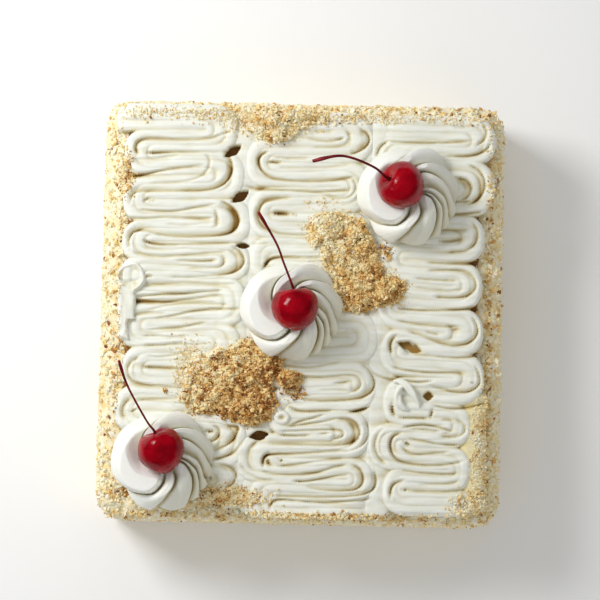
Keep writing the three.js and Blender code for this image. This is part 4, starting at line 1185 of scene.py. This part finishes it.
# Radii of the thickest stem from its foot to its tip, and how thick each stem is next to that one.
STEM_RADII = (1.15, 0.8, 0.66, 0.62, 0.62, 0.62, 0.62, 0.64, 0.68, 0.76, 1.05, 0.8)
STEM_SHARES = {"back": 1.0, "middle": 0.88, "front": 0.82}


def cherry_axis(lean, towards):
    """The way that a cherry's stem end points."""
    lean, towards = math.radians(lean), math.radians(towards)
    across = math.sin(lean)
    return Vector((across * math.cos(towards), across * math.sin(towards), math.cos(lean)))


class CAKE_OT_cherries(Operator):
    """Sets a cherry on each rosette"""

    bl_idname = "cake.cherries"
    bl_label = "Cherries"

    def execute(self, context):
        settings = context.scene.cake_cherry
        material = syrup_cherry(settings)
        radius, dimple = settings.radius, settings.dimple
        for seed, (place, (_, spot, lean, towards, _)) in enumerate(ROSETTES.items()):
            bm = bmesh.new()
            bmesh.ops.create_uvsphere(bm, u_segments=64, v_segments=44, radius=radius)
            for vert in bm.verts:
                co = vert.co
                across = math.hypot(co.x, co.y) / radius
                angle = math.atan2(co.y, co.x)
                share = co.z / radius
                shoulder = max(0.0, share) * across
                lobes = 1 + 0.08 * math.cos(2 * angle + 1.57 * seed) * shoulder + 0.09 * shoulder
                dip = dimple * math.exp(-((across / 0.37) ** 2)) if share > 0 else 0.0
                # The far end is a little pointed, and dented where the stone came out.
                scar = 0.0006 * math.exp(-(((across - 0.42) / 0.09) ** 2)) if share < 0 else 0.0
                dents = noise.fractal(co * 120 + Vector((seed * 3.3, 0, 0)), 1.0, 2.0, 3) * 0.0004
                co.xy = co.xy * lobes * (1 - 0.17 * max(0.0, -share) ** 1.4)
                co.z = 0.99 * co.z - dip + scar
                co += co.normalized() * dents
            turn = cherry_axis(lean, towards).to_track_quat("Z", "Y").to_matrix().to_4x4()
            bm.transform(Matrix.Translation(Vector((*spot, CHERRY_HEIGHT)) * MM) @ turn)
            finished(f"cherry_{place}_glossy", bm, material, f"cherry_{place}")
        return {"FINISHED"}


def curved(points, steps=12):
    """A route that bends smoothly through points."""
    route = []
    for i in range(len(points) - 1):
        a, b = points[max(0, i - 1)], points[i]
        c, d = points[i + 1], points[min(len(points) - 1, i + 2)]
        for step in range(steps):
            t = step / steps
            route.append(0.5 * (
                (2 * b) + (c - a) * t + (2 * a - 5 * b + 4 * c - d) * t * t + (3 * b - a - 3 * c + d) * t**3
            ))
    return [*route, points[-1]]


class CAKE_OT_stems(Operator):
    """Grows each cherry's stem out of its dimple"""

    bl_idname = "cake.stems"
    bl_label = "Stems"

    def execute(self, context):
        settings = context.scene.cake_cherry
        material = dyed_stem(settings)
        for place, (_, spot, lean, towards, beyond) in ROSETTES.items():
            axis = cherry_axis(lean, towards)
            middle = Vector((*spot, CHERRY_HEIGHT))
            hollow = 0.99 * settings.radius / MM - settings.dimple / MM
            foot = [middle + axis * (hollow - 1), middle + axis * (hollow + 3)]
            route = curved([*foot, *(Vector(p) for p in beyond)])
            radii = [STEM_SHARES[place] * r for r in STEM_RADII]
            rows, marks = tube([tuple(p) for p in route], radii, sides=14)
            finished(f"stem_{place}_dyed", lofted(rows, marks), material, f"stem_{place}")
        return {"FINISHED"}


# ---------------------------------------------------------------- crumbs


def crumb_shapes(divisions, rng):
    """A few lumpy crumbs of about unit radius, as vertices and triangles."""
    shapes = []
    for i in range(CRUMB_SHAPES):
        bm = bmesh.new()
        if divisions:
            bmesh.ops.create_icosphere(bm, subdivisions=divisions, radius=1.0)
        else:
            bmesh.ops.create_uvsphere(bm, u_segments=5, v_segments=2, radius=1.0)
        stretch = Vector(rng.uniform((0.9, 0.65, 0.35), (1.35, 1.1, 0.75)))
        for vert in bm.verts:
            lump = 1 + 0.45 * noise.noise(vert.co * 1.6 + Vector((i * 5.3, 0, 0)))
            lump += 0.3 * noise.noise(vert.co * 3.7 + Vector((0, i * 4.1, 0)))
            spot = vert.co * 2.3 + Vector((i * 6.7, 1.9, 0))
            torn = Vector([noise.noise(spot + Vector((0, 0, 17.3 * axis))) for axis in range(3)]) * 0.3
            vert.co = vert.co * lump * stretch
            if not divisions:
                vert.co += torn
        bmesh.ops.triangulate(bm, faces=bm.faces)
        triangles = np.array([[v.index for v in f.verts] for f in bm.faces])
        shapes.append((np.array([v.co[:] for v in bm.verts]), triangles))
        bm.free()
    return shapes


def turns_of(count, rng):
    """Random turns, as matrices."""
    q = rng.normal(size=(count, 4))
    q /= np.linalg.norm(q, axis=1)[:, None]
    w, x, y, z = q.T
    return np.stack([
        1 - 2 * (y * y + z * z), 2 * (x * y - z * w), 2 * (x * z + y * w),
        2 * (x * y + z * w), 1 - 2 * (x * x + z * z), 2 * (y * z - x * w),
        2 * (x * z - y * w), 2 * (y * z + x * w), 1 - 2 * (x * x + y * y),
    ], 1).reshape(-1, 3, 3)


def shade(mesh, tones):
    """Gives a mesh's vertices their tones, from 0 for pale crumb to 1 for brown crust."""
    mesh.attributes.new("tone", "FLOAT", "POINT").data.foreach_set("value", tones)


def grain(mesh):
    """Noise at a mesh's vertices, a few mm across."""
    return np.array([noise.fractal(v.co * 260, 0.9, 2.0, 3) for v in mesh.vertices])


def joined_crumbs(name, spots, sizes, tones, material, rng, divisions=0):
    """One mesh of crumbs at spots, each a turned copy of one of a few shapes."""
    shapes = crumb_shapes(divisions, rng)
    picks = rng.integers(0, len(shapes), len(spots))
    turns = turns_of(len(spots), rng)
    verts, faces, shades, count = [], [], [], 0
    for pick, (points, triangles) in enumerate(shapes):
        mine = np.flatnonzero(picks == pick)
        if not len(mine):
            continue
        turned = np.einsum("nij,pj->npi", turns[mine], points)
        moved = turned * sizes[mine][:, None, None] + spots[mine][:, None, :]
        verts.append(moved.reshape(-1, 3))
        firsts = count + np.arange(len(mine)) * len(points)
        faces.append((triangles[None] + firsts[:, None, None]).reshape(-1, 3))
        shades.append(np.repeat(tones[mine], len(points)))
        count += len(mine) * len(points)
    mesh = bpy.data.meshes.new(name)
    mesh.from_pydata((np.concatenate(verts) * MM).tolist(), [], np.concatenate(faces).tolist())
    shade(mesh, np.concatenate(shades))
    placed(name, mesh, material)


def tones_of(spots, rng, toasted, base):
    """Shades of crumbs: pale to golden in patches, and toasted brown here and there, mostly in clusters."""
    count = len(spots)
    patch = np.array([noise.noise(Vector(spot) / 5.0) for spot in spots])
    cluster = np.array([noise.noise(Vector(spot) / 3.2 + Vector((9.1, 0, 4.7))) for spot in spots])
    tones = base + 0.34 * patch + 0.12 * rng.normal(size=count)
    brown = rng.random(count) < toasted * np.clip(0.35 + 3.2 * cluster, 0.1, 3.5)
    tones[brown] += rng.uniform(0.2, 0.6, brown.sum())
    return np.clip(tones, base - 0.1, 1)


class CrumbSettings(PropertyGroup):
    pale: FloatVectorProperty(
        name="Pale crumb", description="Colour of the crumbs' inside",
        default=linear("#FBF0CE"), min=0, max=1, subtype="COLOR",
    )
    golden: FloatVectorProperty(
        name="Golden crumb", description="Colour of lightly toasted crumbs",
        default=linear("#DAA75E"), min=0, max=1, subtype="COLOR",
    )
    side_count: IntProperty(
        name="Side crumbs", description="Loose crumbs pressed on the sides", default=7000,
        min=0, max=12000,
    )
    edge_count: IntProperty(
        name="Edge crumbs", description="Loose crumbs on the top edge", default=4600, min=0,
        max=19000,
    )
    smallest: FloatProperty(
        name="Smallest", description="Half the width of the smallest crumbs", default=0.0005,
        min=0.0002, max=0.002, unit="LENGTH", subtype="DISTANCE",
    )
    largest: FloatProperty(
        name="Largest", description="Half the width of the largest crumbs", default=0.0017,
        min=0.0005, max=0.003, unit="LENGTH", subtype="DISTANCE",
    )


def coat_outline(inset):
    """Evenly spaced points round the cake's footprint, inset from its outermost crumbs."""
    hi = in_mm(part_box("crumb_coat"))[1]
    half = np.array([hi.x - inset, hi.y - inset])
    corner = max(3.0, CORNER - inset)
    route = []
    for quarter in range(4):
        for step in range(13):
            angle = math.pi / 2 * (quarter + step / 12)
            away = np.array([math.cos(angle), math.sin(angle)])
            signs = np.array([1 if quarter in (0, 3) else -1, 1 if quarter in (0, 1) else -1])
            route.append((half - corner) * signs + away * corner)
    route = np.array([*route, route[0]])
    length = lengths(route)
    places = np.linspace(0, length[-1], COAT_SIDES, endpoint=False)
    return np.stack([np.interp(places, length, column) for column in route.T], 1)


def coat_rows():
    """Rows of the crumb coat from its underside up the side, over the shoulder and into the sponge."""
    # The section, as insets and heights.
    section = [(5.5, 0.25), (3.0, 0.25), (2.0, 0.3)]
    section += [(COAT_FACE, z) for z in np.arange(1.2, SIDE_TOP, 1.15)]
    for a in np.linspace(0.1, math.pi / 2, 11):
        section.append((COAT_FACE + SHOULDER_RUN * (1 - math.cos(a)), SIDE_TOP + SHOULDER_RISE * math.sin(a)))
    section += [(12.6, 50.4), (14.0, 50.3), (15.2, 49.4), (15.6, 47.0)]
    rows = []
    for inset, z in section:
        outline = coat_outline(inset)
        away = np.gradient(outline, axis=0)
        away = np.stack([away[:, 1], -away[:, 0]], 1)
        away /= np.linalg.norm(away, axis=1)[:, None]
        row = []
        for (x, y), (ax, ay) in zip(outline, away):
            spot = Vector((x, y, z))
            lump = 1.0 * noise.fractal(spot / 3.0, 0.7, 2.1, 3) + 1.0 * noise.noise(spot / 7.0)
            over = min(1.0, max(0.0, (z - 42) / 8))
            hidden = inset > 14.5 or z < 1
            lump = 0 if hidden else max(-1.5, min(1.0, lump))
            out = 1 - 0.7 * over
            row.append((x + ax * lump * out, y + ay * lump * out, max(0.0, z + lump * over * 0.9)))
        rows.append(row)
    return rows


def scattered(rows, count, rng, weigh):
    """Random spots on a skin through rows of points, with their normals. weigh gives the triangles' pull on
    them from their middles and normals."""
    a, b, d, c = rows[:-1, :-1], rows[:-1, 1:], rows[1:, :-1], rows[1:, 1:]
    a, b, c = (np.concatenate([u.reshape(-1, 3), v.reshape(-1, 3)]) for u, v in ((a, a), (b, c), (c, d)))
    cross = np.cross(b - a, c - a)
    area = np.linalg.norm(cross, axis=1) / 2
    normals = cross / (2 * area[:, None] + 1e-12)
    pull = area * weigh((a + b + c) / 3, normals)
    picks = rng.choice(len(area), count, p=pull / pull.sum())
    u, v = rng.random((2, count))
    flip = u + v > 1
    u[flip], v[flip] = 1 - u[flip], 1 - v[flip]
    spots = a[picks] + (b - a)[picks] * u[:, None] + (c - a)[picks] * v[:, None]
    return spots, normals[picks]


def sizes_of(count, rng, smallest, largest):
    """Crumb sizes: many small, few large."""
    return smallest + (largest - smallest) * rng.random(count) ** 2.2


def on_side(at, normals):
    """Pull of the coat's sides, clear of its foot and its shoulder."""
    return (at[:, 2] > 1.6) * (at[:, 2] < 44) * (np.maximum(abs(at[:, 0]) - 84, abs(at[:, 1]) - 88) > 0)


def on_edge(at, normals):
    """Pull of the coat's rounded top edge."""
    return (at[:, 2] > 43) * (normals[:, 2] > 0.15)


class CAKE_OT_crumb_coat(Operator):
    """Presses cake crumbs on the sides and the rounded top edge"""

    bl_idname = "cake.crumb_coat"
    bl_label = "Crumb coat"

    def execute(self, context):
        settings = context.scene.cake_crumb
        material = cake_crumb(settings)
        rows = coat_rows()
        coat = finished("crumb_coat_pressed", lofted(rows), material, "crumb_coat")
        shade(coat.data, 0.19 - 0.3 * grain(coat.data))
        skin = np.array(rows)
        skin = np.concatenate([skin, skin[:, :1]], axis=1)
        small, large = settings.smallest / MM, settings.largest / MM
        rng = np.random.default_rng(11)
        # Piece, how many crumbs, where, their growth, how proud they stand, toasted share and shade.
        for name, count, weigh, growth, proud, tones in (
            ("crumbs_side_loose", settings.side_count, on_side, (1.0, 1.0), 0.25, (0.3, 0.2)),
            ("crumbs_edge_loose", settings.edge_count, on_edge, (1.2, 1.1), 0.35, (0.22, 0.14)),
        ):
            spots, away = scattered(skin, count, rng, weigh)
            sizes = sizes_of(count, rng, small * growth[0], large * growth[1])
            spots += away * (sizes * proud)[:, None]
            self.keep_inside(spots, sizes)
            joined_crumbs(name, spots, sizes, tones_of(spots, rng, *tones), material, rng)
        return {"FINISHED"}

    @staticmethod
    def keep_inside(spots, sizes):
        """Moves crumbs up from the floor and in from the cake's outermost faces."""
        spots[:, 2] = np.maximum(spots[:, 2], sizes * 1.3)
        lo, hi = in_mm(CAD_BOX)
        for axis in (0, 1):
            least, most = lo[axis] + sizes * CRUMB_REACH, hi[axis] - sizes * CRUMB_REACH
            spots[:, axis] = np.clip(spots[:, axis], least, most)


def heap_relief(name):
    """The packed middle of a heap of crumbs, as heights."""
    lobes = np.array(HEAPS[name][0])
    lo = (lobes[:, :2] - lobes[:, 2:]).min(0) - 2
    hi = (lobes[:, :2] + lobes[:, 2:]).max(0) + 2
    relief = Relief(lo, (hi[0], min(hi[1], 102)), CRUMB_GRID)
    for i, y in enumerate(relief.y):
        for j, x in enumerate(relief.x):
            away = np.hypot((x - lobes[:, 0]) / lobes[:, 2], (y - lobes[:, 1]) / lobes[:, 3]) + 1e-6
            ragged = 0.9 + 0.2 * noise.noise(Vector((x / 7, y / 7, 4.4)))
            ragged += 0.12 * noise.noise(Vector((x / 2.5, y / 2.5, 9.4)))
            share = (away**-4).sum() ** -0.25 / ragged
            if share < 1:
                lump = 2.8 * noise.fractal(Vector((x / 4.4, y / 4.4, 1.7)), 0.6, 2.1, 4)
                swell = 0.85 + 0.6 * noise.noise(Vector((x / 9, y / 9, 1.3)))
                relief.top[i, j] = HEAP_FOOT + HEAP_RISE * (1 - share**2) ** 0.6 * swell + lump
                # It slopes down to the cake's edge.
                relief.top[i, j] -= 8 * max(0.0, (y - 98.3) / 3) ** 2
    return relief


def heap_shade(name, spots):
    """Shades of spots on a heap: its own shade, with painted shade that browns it towards the side turned
    from the key light.
    """
    _, middle_shade, middle, lean = HEAP_TONES[name]
    return middle_shade + np.clip((spots[:, :2] - middle) @ lean, -0.22, 0.14)


def facing_up(floor):
    """Pull of what looks up and lies above a height."""
    return lambda at, normals: (normals[:, 2] > 0.1) * (at[:, 2] > floor)


def clinging(rows, count, rng):
    """Spots of crumbs on a heap. Most cling together in soft clumps about 2 mm across."""
    clumps, away = scattered(rows, count // 12, rng, facing_up(56))
    picks = rng.integers(0, len(clumps), count)
    spots = clumps[picks] + rng.normal(size=(count, 3)) * (0.85, 0.85, 0.35) + away[picks] * 0.25
    lone = count // 3
    spots[:lone] = scattered(rows, lone, rng, facing_up(56))[0]
    return spots


def strayed(lobes, count, rng):
    """Spots and sizes of the crumbs that thin out around a heap, on the cream."""
    angle, reach = rng.uniform(0, 2 * math.pi, count), 0.8 + 0.18 * np.abs(rng.normal(size=count))
    near = lobes[rng.integers(0, len(lobes), count)]
    x = near[:, 0] + near[:, 2] * reach * np.cos(angle)
    y = near[:, 1] + near[:, 3] * reach * np.sin(angle)
    sizes = sizes_of(count, rng, 0.25, 0.7)
    return lying(kept_on(np.stack([x, y], 1)), sizes, 0.4), sizes


def lying(at, sizes, share):
    """Spots of crumbs on what lies below them, each a share of its size above it."""
    return np.array([(x, y, ground(x, y) + size * share) for (x, y), size in zip(at, sizes)])


class CAKE_OT_crumb_heaps(Operator):
    """Heaps loose crumbs on the cream"""

    bl_idname = "cake.crumb_heaps"
    bl_label = "Crumb heaps"

    def execute(self, context):
        material = bpy.data.materials["sponge_crumb_toasted"]
        rng = np.random.default_rng(23)
        for name, (lobes, count) in HEAPS.items():
            toasted = HEAP_TONES[name][0]
            relief = heap_relief(name)
            core = finished(name + "_packed", relief.skin(HEAP_FLOOR), material, name)
            under = heap_shade(name, np.array([v.co / MM for v in core.data.vertices]))
            # Painted shade: the packed middle shows in the gaps between crumbs, so it is a little browner
            # than they are.
            shade(core.data, under + 0.12 - 0.2 * grain(core.data))
            rows = np.dstack([*np.meshgrid(relief.x, relief.y), relief.top])
            spots = clinging(rows, count, rng)
            sizes = sizes_of(count, rng, 0.45, 1.2)
            far, far_sizes = strayed(np.array(lobes), count // 6, rng)
            tones = np.concatenate([
                tones_of(spots, rng, toasted, heap_shade(name, spots)),
                tones_of(far, rng, toasted * 0.5, heap_shade(name, far) - 0.08),
            ])
            spots, sizes = np.concatenate([spots, far]), np.concatenate([sizes, far_sizes])
            joined_crumbs(f"{name}_loose", spots, sizes, tones, material, rng)
            few = count // 16
            spots, away = scattered(rows, few, rng, facing_up(56.5))
            sizes = sizes_of(few, rng, 0.75, 1.5)
            spots += away * (sizes * 0.4)[:, None]
            tones = tones_of(spots, rng, toasted * 1.6, heap_shade(name, spots))
            joined_crumbs(f"{name}_coarse", spots, sizes, tones, material, rng, divisions=1)
        return {"FINISHED"}


# Crumbs spilled on the cream: middle, spread, how many, smallest and largest size, toasted share, shade.
SPILLS = [
    ((-90.5, 68), (3.5, 9), 700, 0.35, 1.0, 0.12, 0.34),
    ((-67, -41.5), (1.3, 1.1), 26, 0.4, 1.1, 0.9, 0.5),
    ((-56, -30), (7, 12), 900, 0.28, 0.65, 0.04, 0.27),
    ((-35, -94), (14, 4.5), 2000, 0.35, 1.0, 0.26, 0.32),
    ((89, -98), (9, 7), 1300, 0.4, 1.1, 0.2, 0.22),
    ((-93, -92), (6, 5), 160, 0.4, 1.2, 0.35, 0.28),
    ((41, 30), (4.0, 3.5), 120, 0.35, 1.0, 0.6, 0.4),
    ((43, 18), (4, 5), 60, 0.35, 0.9, 0.3, 0.35),
    ((-3, -41), (5, 3.5), 170, 0.35, 0.95, 0.4, 0.4),
    ((90, -68), (4.5, 24), 800, 0.3, 0.8, 0.05, 0.16),
    ((94, 0), (1.8, 75), 1600, 0.35, 1.0, 0.25, 0.32),
    ((10, 54), (9, 2.5), 40, 0.35, 0.8, 0.1, 0.3),
    ((5, 98.5), (110, 3.5), 1900, 0.3, 0.9, 0.12, 0.24),
    ((-17, 97), (24, 7), 2200, 0.3, 0.8, 0.1, 0.3),
    ((-92, -10), (1.2, 90), 500, 0.3, 0.9, 0.15, 0.3),
    ((8, -104), (95, 2.6), 2600, 0.35, 1.1, 0.24, 0.24),
]


class CAKE_OT_spilled_crumbs(Operator):
    """Drops single crumbs where they fell on the cream"""

    bl_idname = "cake.spilled_crumbs"
    bl_label = "Spilled crumbs"

    def execute(self, context):
        material = bpy.data.materials["sponge_crumb_toasted"]
        rng = np.random.default_rng(37)
        spots, sizes, tones = [], [], []
        for middle, spread, count, small, large, toasted, middle_shade in SPILLS:
            sizes.append(sizes_of(count, rng, small, large))
            at = np.array(middle) + rng.normal(size=(count, 2)) * 0.55 * np.array(spread)
            spots.append(lying(kept_on(at), sizes[-1], 0.5))
            tones.append(tones_of(spots[-1], rng, toasted, middle_shade))
        spots, sizes, tones = (np.concatenate(v) for v in (spots, sizes, tones))
        joined_crumbs("crumbs_spilled", spots, sizes, tones, material, rng)
        return {"FINISHED"}


class CAKE_OT_sponge(Operator):
    """Finishes the sponge: browned on top, open yellow crumb elsewhere"""

    bl_idname = "cake.sponge"
    bl_label = "Sponge"

    def execute(self, context):
        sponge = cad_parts["sponge"]
        material = soaked_sponge()
        for place in sponge.material_slots:
            place.material = material
        return {"FINISHED"}


# ---------------------------------------------------------------- stage


class StageSettings(PropertyGroup):
    key_power: FloatProperty(
        name="Key light", description="Power of the main light, from the left", default=4.3,
        min=0, unit="POWER",
    )
    fill_power: FloatProperty(
        name="Fill lights",
        description="Power of the front fill light, which the others follow", default=2.9,
        min=0, unit="POWER",
    )
    sky: FloatProperty(
        name="Room light", description="Strength of the light from all round", default=0.39,
        min=0, max=2,
    )


# Fill lights: azimuth, elevation, and share of the fill power.
FILL_LIGHTS = {
    "fill_right": (15, 40, 0.08),
    "fill_front": (-80, 42, 1.0),
    "fill_back": (100, 38, 0.55),
}


class CAKE_OT_stage(Operator):
    """Sets the floor, the lights and the camera"""

    bl_idname = "cake.stage"
    bl_label = "Stage"

    def execute(self, context):
        settings = context.scene.cake_stage
        scene = context.scene
        bm = bmesh.new()
        bmesh.ops.create_grid(bm, x_segments=2, y_segments=2, size=3.0)
        mesh = bpy.data.meshes.new("paper_floor")
        bm.to_mesh(mesh)
        bm.free()
        mesh.materials.append(paper_sweep())
        floor = bpy.data.objects.new("paper_floor", mesh)
        scene.collection.objects.link(floor)
        floor.location.z = -0.0005
        world = bpy.data.worlds.new("room")
        scene.world = world
        world.use_nodes = True
        back = world.node_tree.nodes["Background"]
        back.inputs["Color"].default_value = (1, 1, 1, 1)
        back.inputs["Strength"].default_value = settings.sky
        world.cycles_visibility.glossy = False
        self.light("key", 149, 41, 0.8, 0.3, settings.key_power)
        for name, (azimuth, elevation, share) in FILL_LIGHTS.items():
            self.light(name, azimuth, elevation, 1.6, 1.2, share * settings.fill_power)
        self.camera()
        scene.view_settings.view_transform = "Standard"
        return {"FINISHED"}

    @staticmethod
    def light(name, azimuth, elevation, distance, size, power):
        """Adds an area light that looks at the cake."""
        data = bpy.data.lights.new(name, "AREA")
        data.energy = power
        data.size = size
        lamp = bpy.data.objects.new(name, data)
        # Only the main light is mirrored in the wet cherries.
        lamp.visible_glossy = name == "key"
        bpy.context.scene.collection.objects.link(lamp)
        azimuth, elevation = math.radians(azimuth), math.radians(elevation)
        level = math.cos(elevation)
        away = Vector((level * math.cos(azimuth), level * math.sin(azimuth), math.sin(elevation)))
        turn = away.to_track_quat("Z", "Y").to_matrix().to_4x4()
        lamp.matrix_world = Matrix.Translation(away * distance + Vector((0, 0, 0.05))) @ turn

    @staticmethod
    def camera():
        """Looks almost straight down from the front and is rolled a little."""
        elevation, roll, distance = math.radians(85), math.radians(1.3), 1.2
        target = Vector((-0.0009, 0.005, 0.059))
        back = Vector((0, -math.cos(elevation), math.sin(elevation)))
        up = Vector((0, math.sin(elevation), math.cos(elevation)))
        right = Vector((1, 0, 0)) * math.cos(roll) + up * math.sin(roll)
        up = back.cross(right)
        data = bpy.data.cameras.new("camera")
        data.lens, data.sensor_width = 144, 36
        data.clip_start, data.clip_end = 0.05, 20
        lens = bpy.data.objects.new("camera", data)
        bpy.context.scene.collection.objects.link(lens)
        turn = Matrix((right, up, back)).transposed().to_4x4()
        lens.matrix_world = Matrix.Translation(target + back * distance) @ turn
        bpy.context.scene.camera = lens


STEPS = (
    CAKE_OT_sponge, CAKE_OT_crumb_coat, CAKE_OT_cream_columns, CAKE_OT_cream_curl, CAKE_OT_rosettes,
    CAKE_OT_cherries, CAKE_OT_stems, CAKE_OT_crumb_heaps, CAKE_OT_spilled_crumbs, CAKE_OT_stage,
)
GROUPS = {
    "cake_cream": CreamSettings,
    "cake_crumb": CrumbSettings,
    "cake_cherry": CherrySettings,
    "cake_stage": StageSettings,
}


class CAKE_PT_panel(Panel):
    """The cake's steps and the sizes and colours that they use"""

    bl_idname = "CAKE_PT_panel"
    bl_label = "Tres leches cake"
    bl_space_type = "VIEW_3D"
    bl_region_type = "UI"
    bl_category = "Cake"

    def draw(self, context):
        for step in STEPS:
            self.layout.operator(step.bl_idname)
        for group in GROUPS:
            box = self.layout.box()
            settings = getattr(context.scene, group)
            for name in settings.__annotations__:
                box.prop(settings, name)


def register():
    """Registers the classes and gives the scene their settings."""
    for item in (*GROUPS.values(), *STEPS, CAKE_PT_panel):
        bpy.utils.register_class(item)
    for name, group in GROUPS.items():
        setattr(bpy.types.Scene, name, PointerProperty(type=group))


def unregister():
    """Takes back what register did."""
    for name in GROUPS:
        delattr(bpy.types.Scene, name)
    for item in (CAKE_PT_panel, *reversed(STEPS), *reversed(GROUPS.values())):
        bpy.utils.unregister_class(item)


def main():
    """Builds the cake step by step."""
    register()
    for step in STEPS:
        group, name = step.bl_idname.split(".")
        getattr(getattr(bpy.ops, group), name)()


if __name__ == "__main__":
    main()
